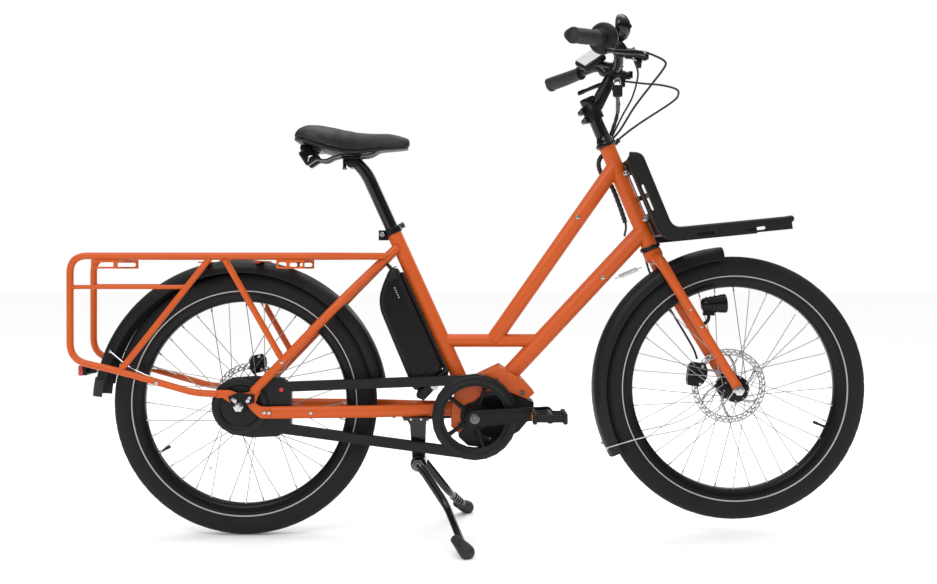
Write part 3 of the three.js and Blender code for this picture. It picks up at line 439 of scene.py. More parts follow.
def make_light(name, place, target, size, power):
    lamp = bpy.data.lights.new(name, "AREA")
    lamp.shape = "RECTANGLE"
    lamp.size, lamp.size_y = size
    lamp.energy = power
    obj = bpy.data.objects.new(name, lamp)
    obj.location = place
    obj.rotation_euler = (target - place).to_track_quat("-Z", "Y").to_euler()
    bpy.context.scene.collection.objects.link(obj)


def make_camera():
    lens = bpy.data.cameras.new("camera")
    camera = bpy.data.objects.new("camera", lens)
    bpy.context.scene.collection.objects.link(camera)
    camera.location = (-0.007, -2.55, 0.630)
    camera.rotation_euler = (pi / 2, 0, 0)
    lens.sensor_width = 36
    lens.lens = 41
    lens.shift_y = -0.0235
    bpy.context.scene.camera = camera


make_camera()
make_stage()
make_room()
make_light("key", point(-1.5, -2.6, 3.4), point(0, 0, 0.5), (2.6, 1.6), 55)
make_light("top", point(0.4, 0.6, 3.6), point(0, 0, 0.4), (3.5, 1.4), 45)
make_light("back", point(1.8, 3.0, 2.2), point(0, 0, 0.6), (2.0, 1.6), 30)


# ---- wheels -----------------------------------------------------------------------------------

TREAD_SEGMENTS = 288
TREAD_ROWS = 30
TYRE_OPENING = radians(52)
BAND_RADIUS = 0.2665


def tyre_section(extra=0.0):
    """(radius, y) points round the outside of the tyre, from one bead to the other."""
    centre = TYRE_RADIUS - TYRE_HALF
    found = []
    for i in range(TREAD_ROWS + 1):
        angle = (pi + 2 * TYRE_OPENING) * i / TREAD_ROWS - TYRE_OPENING - pi / 2
        size = TYRE_HALF + extra
        found.append((max(centre + size * cos(angle), RIM_RADIUS), size * sin(angle)))
    return found


def make_tyre(word, centre):
    """A balloon tyre with a block tread cut into its crown."""
    outside = tyre_section(-0.0004)
    inside = [(max(r - 0.004, RIM_RADIUS), y * 0.86) for r, y in reversed(outside)]
    middle = TYRE_RADIUS - TYRE_HALF
    bm = bmesh.new()
    rings = []
    for i, angle in enumerate(full_turn(TREAD_SEGMENTS)):
        ring = []
        for k, (radius, y) in enumerate(outside):
            row = abs(k - TREAD_ROWS // 2)
            lean = Vector((radius - middle, y))
            groove = (i + row * 2) % 6 == 0 or (row in (3, 6) and (i + row) % 3 != 0)
            if 0 < row <= 8 and groove:
                lean = lean.normalized() * (TYRE_HALF - 0.0016)
            ring.append((middle + lean.x, lean.y))
        rings.append([bm.verts.new(centre + polar(r, angle, y)) for r, y in ring + inside])
    for i in range(TREAD_SEGMENTS):
        bridge(bm, rings[i - 1], rings[i])
    piece(f"{word}_tyre_tread", bm, TYRE, f"{word}_wheel", f"{word}_tyre", angle=28)

    bm = bmesh.new()
    low, high = BAND_RADIUS - 0.0013, BAND_RADIUS + 0.0013
    rise = math.sqrt(TYRE_HALF ** 2 - (BAND_RADIUS - middle) ** 2)
    for side in (-1, 1):
        add_turned(bm, [(low, side * (rise - 0.0016)), (low, side * (rise + 0.0002)),
                        (high, side * (rise + 0.0008)), (high, side * (rise - 0.001))], centre, Y, 160, True)
    piece(f"{word}_reflective_bands", bm, REFLECTIVE, f"{word}_wheel")


def spoke_ends(i, count, lean, flanges, centre):
    """Where one spoke leaves its flange and where it meets the rim."""
    side = -1 if i % 2 else 1
    way = 1 if (i // 2) % 2 else -1
    angle = 2 * pi * i / count
    radius, y = flanges[side]
    return (centre + polar(radius, angle + way * radians(lean), y + way * 0.0018),
            centre + polar(RIM_INNER + 0.002, angle, side * 0.004))


def make_wheel(word, centre, hub_profile, flanges, lean, valve_angle):
    body = f"{word}_wheel"
    rim_profile = [(RIM_INNER, -0.006), (RIM_INNER + 0.003, -0.012), (RIM_INNER + 0.009, -0.0165),
        (RIM_RADIUS + 0.003, -0.0175), (RIM_RADIUS + 0.003, -0.0155), (RIM_RADIUS - 0.003, -0.014),
        (RIM_RADIUS - 0.003, 0.014), (RIM_RADIUS + 0.003, 0.0155), (RIM_RADIUS + 0.003, 0.0175),
        (RIM_INNER + 0.009, 0.0165), (RIM_INNER + 0.003, 0.012), (RIM_INNER, 0.006)]
    bm = bmesh.new()
    add_turned(bm, rim_profile, centre, Y, 160, closed=True)
    lathe(bm, hub_profile, centre, Y, 64)
    piece(f"{word}_rim_and_hub", bm, BLACK_ALLOY, body, f"{word}_rim", slot="wheel_alloy", angle=40)

    count = 36
    spokes, nipples = bmesh.new(), bmesh.new()
    for i in range(count):
        hub, rim = spoke_ends(i, count, lean, flanges, centre)
        way = (rim - hub).normalized()
        add_tube(spokes, [hub, hub + way * 0.004, rim], 0.001, 8)
        lathe(nipples, [(2.1, -12), (2.1, -3), (2.8, 0), (0, 1)], rim, way, 8)
        lathe(spokes, [(2.2, 0), (2.2, 1), (1, 2), (0, 2.2)], hub, Y
            if flanges[1][1] > 0 and hub.y > 0 else -Y, 8)
    piece(f"{word}_spokes", spokes, SPOKE_STEEL, body)
    piece(f"{word}_nipples", nipples, STEEL, body)

    angle = radians(valve_angle)
    inward = point(-cos(angle), 0, -sin(angle))
    foot = centre - inward * (RIM_INNER + 0.001)
    bm = bmesh.new()
    lathe(bm, [(6.2, 0), (6.2, 2), (4.2, 3.5), (3, 4), (3, 20), (3.8, 21), (3.8, 30), (2.5, 32), (0, 32)],
        foot, inward, 16)
    piece(f"{word}_valve", bm, RUBBER, body, slot="tyre_rubber")


def make_rotor(word, centre, y):
    """A drilled brake disc on six curved arms."""
    cells, rows, arms, steps = 144, 5, 6, 8
    band_low, arm_low = ROTOR_RADIUS - 0.016, 0.030
    bm = bmesh.new()

    def corner(radius, angle):
        return bm.verts.new(centre + polar(radius, angle, y))

    grid = []
    for k in range(rows + 1):
        radius = band_low + (ROTOR_RADIUS - band_low) * k / rows
        wave = 0.0008 if k == rows else 0.0
        grid.append([corner(radius - wave * (i % 4 == 0), a) for i, a in enumerate(full_turn(cells))])
    for k in range(rows):
        for i in range(cells):
            if not ((k == 1 and i % 4 in (0, 1)) or (k == 3 and i % 4 in (2, 3))):
                bm.faces.new((grid[k][i - 1], grid[k][i], grid[k + 1][i], grid[k + 1][i - 1]))
    for turn in full_turn(arms):
        edge = []
        for t in (i / steps for i in range(steps + 1)):
            radius = arm_low + (band_low + 0.001 - arm_low) * t
            half = (0.0052 - 0.0018 * sin(pi * t)) / radius
            edge.append([corner(radius, turn + 0.55 * t + s) for s in (-half, half)])
        for first, second in zip(edge, edge[1:]):
            bridge(bm, first, second, closed=False)
    bridge(bm, *([corner(r, a) for a in full_turn(48)] for r in (0.0235, 0.032)))
    disc = piece(f"{word}_rotor_disc", bm, STEEL, f"{word}_wheel", f"{word}_rotor")
    thick = disc.modifiers.new("thickness", "SOLIDIFY")
    thick.thickness = 0.0018
    thick.offset = 0

    bm = bmesh.new()
    for angle in full_turn(6):
        add_bolt(bm, centre + polar(0.0275, angle + 0.1, y + 0.0009), Y, 0.0036, 0.002)
    piece(f"{word}_rotor_bolts", bm, DARK_STEEL, f"{word}_wheel")


def make_wheels():
    make_tyre("rear", REAR)
    make_tyre("front", FRONT)
    make_wheel("rear", REAR, [(7, -44), (40, -44), (45, -40), (47, -37), (53, -34), (54, -32),
        (53, -29), (46, -24), (43, 0), (46, 20), (53, 26), (54, 29), (52, 32), (42, 36), (30, 44),
        (24, 60), (7, 61)], {-1: (0.049, -0.031), 1: (0.049, 0.028)}, 44, 210)
    make_wheel("front", FRONT, [(7, -41), (12, -41), (15, -36), (18, -34), (31, -32), (32, -30),
        (31, -28), (20, -24), (16, -12), (15, 6), (19, 22), (31, 27), (32, 29), (31, 31), (25, 34),
        (24, 38), (7, 38)], {-1: (0.028, -0.030), 1: (0.028, 0.029)}, 62, 337)
    make_rotor("rear", REAR, 0.0633)
    make_rotor("front", FRONT, 0.0403)
    reflector = bmesh.new()
    lathe(reflector, [(0, -3), (4.5, -3), (4.8, 0), (4.5, 3), (0, 3)], REAR + mm(-83, -15, -155),
        Y, 20)
    piece("spoke_magnet", reflector, STEEL, "rear_wheel")


make_wheels()


# ---- frame tubes, stays and carrier -----------------------------------------------------------


def make_main_tubes():
    for node in ("head_tube", "upper_tube", "down_tube", "cross_tube", "seat_tube"):
        refined(node, ORANGE, 0.0, angle=30)
    refined("motor_bracket", ORANGE, 0.0022)


def add_weld(bm, centre, axis, radius, thick=0.0026):
    """A rounded weld bead round a tube."""
    bead = [(radius + thick * 0.6 * cos(a), thick * sin(a)) for a in full_turn(8)]
    add_turned(bm, bead, centre, axis, 40, closed=True)


def make_stays():
    for word, side in SIDES:
        bm = bmesh.new()
        add_tube(bm, rounded([mm(-176, side * 16, 684), mm(-292, side * 56, 570),
            point(-0.398, side * STAY_Y, 0.459), point(-0.505, side * STAY_Y, 0.348)], 0.060), 0.0105, 20)
        add_tube(bm, [point(-0.571, side * RACK_Y, 0.654), mm(-440, side * 76.5, 424)], 0.0073, 18)
        piece(f"{word}_seat_stay_tube", bm, ORANGE, "frame", f"{word}_seat_stay")
        bm = bmesh.new()
        add_tube(bm, rounded([point(-0.462, side * STAY_Y, 0.300), mm(-220, side * 61, 300),
            mm(-118, side * 33, 300), mm(-45, side * 31, 300)], 0.060), 0.0145, 24, squash=0.55)
        outline = [(-0.590, 0.352), (-0.560, 0.352), (-0.540, 0.345), (-0.520, 0.346), (-0.507, 0.352),
            (-0.500, 0.360), (-0.488, 0.348), (-0.494, 0.338), (-0.500, 0.322), (-0.490, 0.315),
            (-0.478, 0.3135), (-0.456, 0.3135), (-0.456, 0.2865), (-0.484, 0.2865), (-0.492, 0.289),
            (-0.512, 0.308), (-0.519, 0.318), (-0.526, 0.322), (-0.556, 0.322), (-0.566, 0.327),
            (-0.575, 0.334), (-0.590, 0.334)]
        plate_mesh = bmesh.new()
        add_plate(plate_mesh, outline, side * STAY_Y - 0.0032, side * STAY_Y + 0.0032)
        piece(f"{word}_chain_stay_tube", bm, ORANGE, "frame", f"{word}_chain_stay", angle=50)
        piece(f"{word}_dropout", plate_mesh, ORANGE, bevel=0.0012)


def make_carrier():
    for word, side in SIDES:
        y = side * RACK_Y
        bm = bmesh.new()
        add_tube(bm, rounded([point(-0.203, side * 0.037, RACK_TOP), point(-0.330, y, RACK_TOP),
            point(RACK_REAR, y, RACK_TOP), point(RACK_REAR, y, 0.422), point(-0.813, y, 0.3945),
            point(-0.640, y, 0.345), point(-0.588, y, 0.343)], 0.040, 12), 0.008, 20)
        piece(f"{word}_rack_loop_tube", bm, ORANGE, "frame", f"{word}_rack_loop")
        bm = bmesh.new()
        add_tube(bm, [point(-0.606, y, 0.658), point(-0.8145, y, 0.3955)], 0.0073, 18)
        add_tube(bm, [point(RACK_REAR, y, 0.5905), point(-0.660, y, 0.5905)], 0.005, 16)
        piece(f"{word}_rack_brace_tubes", bm, ORANGE, "frame", f"{word}_rack_braces")
    refined("rear_rack_bridge", ORANGE, 0.0008)
    refined("front_rack_bridge", ORANGE, 0.0008)


def make_welds():
    bm = bmesh.new()
    for distance in (0.001, HEAD_LENGTH - 0.001):
        add_weld(bm, on_head(distance), HEAD_UP, 0.0190)
    strut, front = point(-0.2085, 0, -0.2625).normalized(), point(0.131, 0, -0.230).normalized()
    for side in (-1, 1):
        for x, y, z, way, radius, thick in (
            (-611, 78, 651.5, strut, 0.0073, 0.002), (-808, 78, 403.7, strut, 0.0073, 0.002),
            (-566.5, 78, 646.5, front, 0.0073, 0.002), (-447, 76.5, 436.5, front, 0.0073, 0.002),
            (-921.5, 78, 590.5, X, 0.005, 0.0018), (-666, 78, 590.5, X, 0.005, 0.0018),
        ):
            add_weld(bm, mm(x, side * y, z), way, radius, thick)
    piece("weld_beads", bm, ORANGE, angle=60)


def make_frame_bolts():
    bm = bmesh.new()
    for side in (-1, 1):
        for x, y, z, radius in ((-0.438, 0.0873, 0.418, 0.0048), (-0.728, 0.0858, 0.3695, 0.0048),
                (-0.468, 0.0827, 0.300, 0.0046), (-0.479, 0.0827, 0.3005, 0.0046),
                (-0.372, 0.0795, 0.299, 0.0044), (-0.546, 0.0885, 0.3285, 0.0055),
                (-0.516, 0.0885, 0.3285, 0.0055)):
            add_bolt(bm, point(x, side * y, z), Y * side, radius, 0.003)
    for x, z, radius in ((0.252, 0.755, 0.0185), (0.311, 0.612, 0.0205)):
        add_bolt(bm, point(x, -radius + 0.0004, z), -Y, 0.0050, 0.0035)
    for distance in (0.182, 0.064):
        add_bolt(bm, on_head(distance, 0.012, -0.0165), -Y, 0.0060, 0.0035)
        add_bolt(bm, on_head(distance, 0.012, 0.0165), Y, 0.0060, 0.0035)
    piece("frame_bolts", bm, STEEL)


make_main_tubes()
make_stays()
make_carrier()
make_welds()
make_frame_bolts()


# ---- mudguards --------------------------------------------------------------------------------


def guard_section(radius, thick=0.0026, steps=14):
    """The closed section of a mudguard: a soft arch with turned-in sides."""
    half, drop, power = 0.036, 0.030, 0.77
    arch = []
    for i in range(steps + 1):
        angle = pi * (i / steps - 0.5)
        across = math.copysign(abs(sin(angle)) ** power, angle)
        rise = max(0.0, cos(angle)) ** power
        arch.append((across, rise))
    outer = [(radius - drop * (1 - rise), half * across) for across, rise in arch]
    inner = [(radius - thick - (drop - thick) * (1 - rise), (half - thick) * across) for across,
        rise in reversed(arch)]
    return outer + inner


def make_guard(node, centre, radius, start, stop, body, stays):
    bm = bmesh.new()
    steps = 72
    add_arc(bm, guard_section(radius), centre, start, stop, steps)
    for side in (-1, 1):
        edge = [centre + polar(radius - 0.030, radians(start + (stop - start) * i / steps), side * 0.0352)
                for i in range(steps + 1)]
        add_tube(bm, edge, 0.0018, 8)
    piece(f"{node}_guard", bm, PLASTIC, body, node, angle=50)
    wires = bmesh.new()
    for stay in stays:
        add_tube(wires, flowing(stay, 6), 0.0016, 8)
        for place in (stay[0], stay[-1]):
            add_bolt(wires, place, Y * math.copysign(1, place.y), 0.0042, 0.003)
    piece(f"{node}_stays", wires, STEEL, body)


def make_mudguards():
    rear_centre = mm(-548, 0, 305)
    rear_stays = [[mm(-700, side * 76, 364), mm(-790, side * 62, 400), mm(-850, side * 37.5, 438)]
        for side in (-1, 1)]
    make_guard("rear_fender", rear_centre, 0.350, 11, 171, "frame", rear_stays)
    front_stays = [[mm(318, side * 37.5, 211), mm(400, side * 44, 236), mm(500, side * 52, 259),
        mm(570, side * 60, 297), mm(612, side * 66, 349)] for side in (-1, 1)]
    make_guard("front_fender", FRONT, 0.337, 95, 209, "steering", front_stays)

    bm = bmesh.new()
    add_arc(bm, [(r + 0.0035, y * 1.02) for r, y in guard_section(0.350, 0.002)], rear_centre, 168.5,
        175.5, 6)
    piece("mud_flap", bm, RUBBER, slot="black_plastic", angle=50)

    tabs = bmesh.new()
    for x, z in ((-0.626, 0.648), (-0.500, 0.650)):
        add_box(tabs, point(x - 0.010, -0.070, z - 0.0015), point(x + 0.010, 0.070, z + 0.0015))
        for side in (-1, 1):
            add_bolt(tabs, point(x, side * 0.052, z - 0.0015), -Z, 0.004, 0.003)
    piece("guard_bridges", tabs, ORANGE, bevel=0.0008)


# ---- lights -----------------------------------------------------------------------------------


def make_tail_light():
    low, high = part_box("tail_light")
    bm = bmesh.new()
    add_box(bm, low, point(low.x + 0.012, high.y, high.z))
    piece("tail_lens", bm, RED_LENS, "frame", "tail_light", bevel=0.0035)
    bm = bmesh.new()
    add_box(bm, point(low.x + 0.0115, low.y + 0.001, low.z + 0.001),
        point(low.x + 0.021, high.y - 0.001, high.z - 0.001))
    add_box(bm, point(low.x + 0.019, -0.010, low.z + 0.005), point(high.x + 0.004, 0.010, high.z - 0.007))
    piece("tail_light_back", bm, SMOOTH_PLASTIC, bevel=0.002)


def make_headlight():
    low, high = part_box("headlight")
    y = (low.y + high.y) / 2
    back, way = point(0.536, y, 0.548), point(0.056, 0, 0.004).normalized()
    bm = bmesh.new()
    lathe(bm, [(0, -1), (10, 0), (14.5, 3), (16.5, 8), (17.5, 18), (19, 32), (21.5, 46), (22.2, 54),
        (21.5, 57), (19.5, 57), (18.5, 50), (0, 46)], back, way, 40)
    add_box(bm, point(0.540, y - 0.006, 0.524), point(0.566, y + 0.006, 0.537))
    add_tube(bm, rounded([point(0.553, y, 0.532), point(0.553, y, 0.512), mm(538, -57, 500)], 0.008),
        0.0042, 12)
    for i in range(3):
        place = back + way * (0.012 + 0.009 * i)
        size = 0.0176 + 0.0011 * i
        add_turned(bm, [(size, 0), (size + 0.0012, 0.001), (size + 0.0012, 0.002), (size, 0.003)], place,
            way, 40, closed=True)
    piece("headlight_body", bm, SMOOTH_PLASTIC, "steering", "headlight", bevel=0.0008)
    bm = bmesh.new()
    lathe(bm, [(19.2, 49.5), (19.2, 53), (15, 55), (8, 56.2), (0, 56.6)], back, way, 40)
    piece("headlight_lens", bm, CLEAR_LENS, "steering")


# ---- drive ------------------------------------------------------------------------------------


def chain_places(spacing):
    """Points along the chain's pitch line, a given distance apart."""
    front, rear = (point(hub.x, CHAIN_Y, hub.z) for hub in (CRANK, REAR))
    gap = rear - front
    along = math.atan2(gap.z, gap.x)
    tilt = math.acos((CHAIN_FRONT - CHAIN_REAR) / gap.length)
    outline = []
    for centre, radius, start, stop in ((front, CHAIN_FRONT, along + tilt, along - tilt + 2 * pi),
                                        (rear, CHAIN_REAR, along - tilt, along + tilt)):
        outline += [centre + polar(radius, start + (stop - start) * i / 40) for i in range(41)]
    outline.append(outline[0])
    total = sum((b - a).length for a, b in zip(outline, outline[1:]))
    count = 2 * round(total / spacing / 2)
    places, travelled, target = [], 0.0, 0.0
    for a, b in zip(outline, outline[1:]):
        length = (b - a).length
        while target <= travelled + length and len(places) < count:
            places.append(a.lerp(b, (target - travelled) / length))
            target += total / count
        travelled += length
    return places


def make_chain():
    places = chain_places(0.0127)
    plates, rollers = bmesh.new(), bmesh.new()
    for i, here in enumerate(places):
        outline = capsule(here, places[(i + 1) % len(places)], 0.0040, 0.0040, 6)
        for side in (-1, 1):
            offset = CHAIN_Y + side * (0.0030 if i % 2 else 0.0020)
            loft(plates, [[plates.verts.new((x, offset + half, z)) for x, z in outline]
                          for half in (-0.0005, 0.0005)])
        for radius, half, sides in ((3.5, 1.4, 12), (1.6, 3.8, 8)):
            lathe(rollers, [(radius, -half), (radius, half)], here, Y, sides)
    piece("chain_plates", plates, STEEL, "frame", "chain")
    piece("chain_rollers", rollers, DARK_STEEL)


def toothed(x, z, tip, root, teeth):
    outline = []
    for i in range(teeth):
        for share, radius in ((-0.30, root), (-0.10, tip), (0.10, tip), (0.30, root)):
            angle = 2 * pi * (i + share) / teeth
            outline.append((x + radius * cos(angle), z + radius * sin(angle)))
    return outline


def make_chainring():
    x, z = CRANK.x, CRANK.z
    bm = bmesh.new()
    add_plate(bm, toothed(x, z, 0.0832, 0.0785, 43), CHAIN_Y - 0.001, CHAIN_Y + 0.001,
        [ring_points(x, z, 0.0745, 80)])
    piece("chainring_teeth", bm, BLACK_ALLOY, "crankset", "chainring", angle=30)
    bm, bolts = bmesh.new(), bmesh.new()
    lathe(bm, [(10, -20), (23, -20), (27, -14), (27, -4), (20, 1), (10, 1)], point(x, CHAIN_Y, z), Y,
        40, closed=True)
    for i in range(5):
        angle = radians(70 + 72 * i)
        out = point(cos(angle), 0, sin(angle))
        centre = point(x, CHAIN_Y - 0.003, z)
        path = [centre + out * reach for reach in (0.020, 0.036, 0.056, 0.074, 0.080)]
        add_tube(bm, path, [0.0085, 0.0058, 0.0048, 0.0058, 0.0040], 12, squash=0.5, flat_way=Y)
        place = centre + out * 0.0765
        add_bolt(bolts, place + mm(0, -1.5, 0), -Y, 0.0046, 0.0028)
        add_bolt(bolts, place + mm(0, 3, 0), Y, 0.0046, 0.0028)
    piece("chainring_spider", bm, BLACK_ALLOY, "crankset", angle=50)
    piece("chainring_bolts", bolts, STEEL, "crankset")


def make_sprocket():
    x, z = REAR.x, REAR.z
    bm = bmesh.new()
    add_plate(bm, toothed(x, z, 0.0362, 0.0325, 20), CHAIN_Y - 0.001, CHAIN_Y + 0.001,
        [ring_points(x, z, 0.0120, 24)])
    lathe(bm, [(6, -6), (17, -6), (18, -4), (18, 7), (6, 8)], point(x, CHAIN_Y, z), Y, 32, closed=True)
    piece("sprocket_teeth", bm, STEEL, "sprocket", "rear_sprocket", angle=30)


def make_cranks():
    for word, side in SIDES:
        pedal = hinge(f"{word}_pedal_spin")
        reach = point(pedal.x - CRANK.x, 0, pedal.z - CRANK.z)
        bm = bmesh.new()
        add_plate(bm, capsule(CRANK, CRANK + reach, 0.0195, 0.0142, 12), side * 0.080, side * 0.0945)
        piece(f"{word}_crank_arm", bm, BLACK_ALLOY, "crankset", f"{word}_crank", bevel=0.0042, angle=50,
              segments=4)
        bm = bmesh.new()
        add_plate(bm, capsule(CRANK + reach * 0.17, CRANK + reach * 0.86, 0.0088, 0.0062, 8), side * 0.0940,
                  side * 0.0951)
        piece(f"{word}_crank_flute", bm, SMOOTH_PLASTIC, "crankset", slot="black_alloy", bevel=0.0005)
        bm = bmesh.new()
        lathe(bm, [(11.5, 0), (11.5, 1.4), (10.5, 2), (7, 2), (5.5, 0.8), (0, 0.8)],
              point(CRANK.x, side * 0.094, CRANK.z), Y * side, 32)
        add_tube(bm, [point(pedal.x, side * y, pedal.z) for y in (0.0945, 0.104)], 0.0072, 20)
        lathe(bm, [(9, 0), (9, 1.6), (6, 1.6), (4.5, 0.6), (0, 0.6)], point(pedal.x, side * 0.0805, pedal.z),
              -Y * side, 20)
        piece(f"{word}_crank_fittings", bm, DARK_STEEL, "crankset")
    bm = bmesh.new()
    add_tube(bm, [point(CRANK.x, y, CRANK.z) for y in (-0.080, 0.080)], 0.0105, 32)
    piece("crank_spindle", bm, DARK_STEEL, "crankset")


def make_pedals():
    for word, side in SIDES:
        centre = hinge(f"{word}_pedal_spin")
        body = f"{word}_pedal_body"

        def box(bm, xs, ys, zs):
            """A box from spans about the pedal's axis; ys are distances outwards."""
            spans = [sorted(centre.x + x for x in xs), sorted(side * y for y in ys),
                     sorted(centre.z + z for z in zs)]
            add_box(bm, *(Vector(corner) for corner in zip(*spans)))

        cage, pads, lenses = bmesh.new(), bmesh.new(), bmesh.new()
        lathe(cage, [(7, 102), (11, 106), (9.5, 125), (9.5, 175), (11.5, 188), (9.5, 191.5), (0, 191.5)],
              point(centre.x, 0, centre.z), Y * side, 24)
        for end in (-1, 1):
            box(cage, (end * 0.0290, end * 0.0385), (0.108, 0.1945), (-0.0115, 0.0115))
            for face in (-1, 1):
                for near in (0.113 + 0.0115 * i for i in range(7)):
                    box(pads, (end * 0.0302, end * 0.0373), (near, near + 0.007),
                        (face * 0.0105, face * 0.0130))
            box(lenses, (end * 0.0380, end * 0.0392), (0.124, 0.178), (-0.0065, 0.0065))
        for y in (0.110, 0.151, 0.1895):
            box(cage, (-0.030, 0.030), (y - 0.0032, y + 0.0032), (-0.0080, 0.0080))
        piece(f"{word}_pedal_cage", cage, PLASTIC, body, f"{word}_pedal", bevel=0.0022)
        piece(f"{word}_pedal_pads", pads, RUBBER, body, bevel=0.0006)
        piece(f"{word}_pedal_reflectors", lenses, AMBER, body, bevel=0.0005)


def make_drive_housings():
    refined("chain_case", PLASTIC, 0.0012)
    refined("motor", PLASTIC, 0.0050, slot="black_alloy", segments=4)
    refined("battery_dock", PLASTIC, 0.0030)
    refined("battery", PLASTIC, 0.0085, "battery", segments=5)
    refined("stand_bracket", GLOSS_PAINT, 0.0025, slot="stand_steel")
    refined("rear_axle", BLACK_ALLOY, 0.0009, slot="bright_steel")


def make_axle_nuts():
    nuts = bmesh.new()
    for side in (-1, 1):
        foot = point(REAR.x, side * 0.0885, REAR.z)
        lathe(nuts, [(11.8, 0), (11.8, 1.4), (9.8, 1.8), (9.8, 7.8), (8, 8.6), (5.8, 8.6), (5.2, 10),
                     (0, 10)], foot, Y * side, 6)
        for x, z in ((26, 22), (-12, 18)):
            add_bolt(nuts, foot + mm(x, 0, z), Y * side, 0.0042, 0.0030)
    piece("rear_axle_nuts", nuts, STEEL)


def make_case_details():
    bm, plug = bmesh.new(), bmesh.new()
    lathe(bm, [(67, 0), (66, 3), (61, 5.2), (56, 5.6), (51, 4.6), (47, 2.2), (46, 0)],
          point(REAR.x, -0.0675, REAR.z), -Y, 72, closed=True)
    lathe(bm, [(97.5, -0.5), (95.5, 2.2), (90.5, 3.4), (83.5, 3.4), (78.5, 2.2), (76.5, -0.5)],
          point(CRANK.x, -0.0677, CRANK.z), -Y, 96, closed=True)
    piece("chain_case_rims", bm, PLASTIC, angle=50)
    lathe(plug, [(5.2, 0), (5, 2.2), (4, 3), (0, 3)], mm(-442, -68, 351.5), -Y, 20)
    piece("chain_case_plug", plug, RED_DOT)


def make_motor_covers():
    bm, bolts = bmesh.new(), bmesh.new()
    for side in (-1, 1):
        centre = point(CRANK.x + 0.045, side * 0.0355, CRANK.z)
        lathe(bm, [(60, 0), (60, 2.8), (57.5, 4.6), (50, 5.2), (47, 4), (0, 4)], centre, Y * side, 72)
        for angle in full_turn(6):
            place = centre + polar(0.0535, angle + radians(20), side * 0.0050)
            add_bolt(bolts, place, Y * side, 0.0030, 0.0022)
        for x, z in ((-28, 268), (57, 371), (119, 342)):
            add_bolt(bolts, mm(x, side * 42, z), Y * side, 0.0058, 0.0045)
    piece("motor_covers", bm, SMOOTH_PLASTIC, angle=30)
    piece("motor_bolts", bolts, DARK_STEEL)


def make_battery_details():
    shape = [(0.108, 0.036), (0.108, 0.058), (0.130, 0.078), (0.152, 0.089), (0.172, 0.0935),
        (0.346, 0.0985), (0.332, 0.036)]
    outline = [(on_seat(down, back).x, on_seat(down, back).z) for down, back in shape]
    for word, side in SIDES:
        bm = bmesh.new()
        add_plate(bm, outline, side * 0.0405, side * 0.0424)
        piece(f"battery_{word}_panel", bm, SMOOTH_PLASTIC, "battery", bevel=0.0008)
    seam = bmesh.new()
    loop = [(0.082, 0.027), (0.083, 0.045), (0.105, 0.0695), (0.126, 0.0885), (0.144, 0.0985),
        (0.165, 0.1045), (0.360, 0.1105)]
    path = [on_seat(down, back) for down, back in loop]
    for y in (-0.0125, 0.0125):
        add_tube(seam, [spot + point(0, y, 0) for spot in rounded(path, 0.02, 5)], 0.0010, 6)
    add_tube(seam, rounded([on_seat(0.086, 0.040, -0.020), on_seat(0.070, 0.045, -0.020),
        on_seat(0.070, 0.045, 0.020), on_seat(0.086, 0.040, 0.020)], 0.008, 5), 0.0035, 12)
    piece("battery_seam_and_handle", seam, RUBBER, "battery", slot="black_plastic")
    lock = bmesh.new()
    place = on_seat(0.3770, 0.060, -0.041)
    lathe(lock, [(9, 0), (9, 1.8), (7.8, 2.8), (3, 2.8), (2.4, 1.4), (0, 1.4)], place, -Y, 28)
    piece("battery_lock", lock, STEEL)
    lamp = bmesh.new()
    for i in range(5):
        spot = on_seat(0.128 + 0.006 * i, 0.050, -0.0424)
        lathe(lamp, [(1.7, 0), (1.5, 0.6), (0, 0.7)], spot, -Y, 12)
    piece("battery_charge_lights", lamp, SCREEN, "battery")


make_mudguards()
make_tail_light()
make_headlight()
make_chain()
make_chainring()
make_sprocket()
make_cranks()
make_pedals()
make_drive_housings()
make_axle_nuts()
make_case_details()
make_motor_covers()
make_battery_details()


# ---- steering ---------------------------------------------------------------------------------


def head_turned(bm, profile, segments=40):
    """A body of revolution about the steering axis; (radius, height up the head tube) in millimetres."""
    lathe(bm, profile, HEAD_BOTTOM, HEAD_UP, segments)


def make_fork():
    bm, metal = bmesh.new(), bmesh.new()
    head_turned(bm, [(15, -9), (20.5, -9.5), (22.5, -14), (22.5, -27), (20, -35), (14, -40), (0, -41)])
    for side in (-1, 1):
        path = rounded([on_head(-0.025), mm(444, side * 46, 651), mm(474, side * 57, 597),
            mm(618, side * 57, 361)], 0.030, 8)
        sizes = [0.0140 - 0.0028 * i / (len(path) - 1) for i in range(len(path))]
        add_tube(bm, path, sizes, 24)
        add_tube(bm, [mm(610, side * 57, 374), mm(618, side * 57, 361), mm(624, side * 57, 349)],
            [0.0108, 0.0122, 0.0125], 24, squash=0.62)
        for share in (0.30, 0.46):
            spot = path[-9].lerp(path[-1], share)
            add_bolt(metal, spot + mm(0, side * 11.8, 0), Y * side, 0.0036, 0.0030)
        end = point(FRONT.x, side * 0.0635, FRONT.z)
        lathe(metal, [(12.5, 0), (12.5, 1.6), (10, 2), (9.2, 6.6), (6, 7.2), (4.8, 9.2), (0, 9.2)], end,
            Y * side, 6)
    piece("fork_legs", bm, ORANGE, "steering", "fork", angle=50)
    add_tube(metal, [point(FRONT.x, -0.066, FRONT.z),
        point(FRONT.x, 0.066, FRONT.z)], 0.005, 20)
    piece("fork_axle", metal, STEEL, "steering")

    bm = bmesh.new()
    head_turned(bm, [(15, -8.8), (23.5, -8.8), (24.8, -6.5), (24.8, -2), (23.2, 0.5), (19, 0.5)])
    piece("lower_headset_ring", bm, SMOOTH_PLASTIC, slot="black_alloy", angle=30)


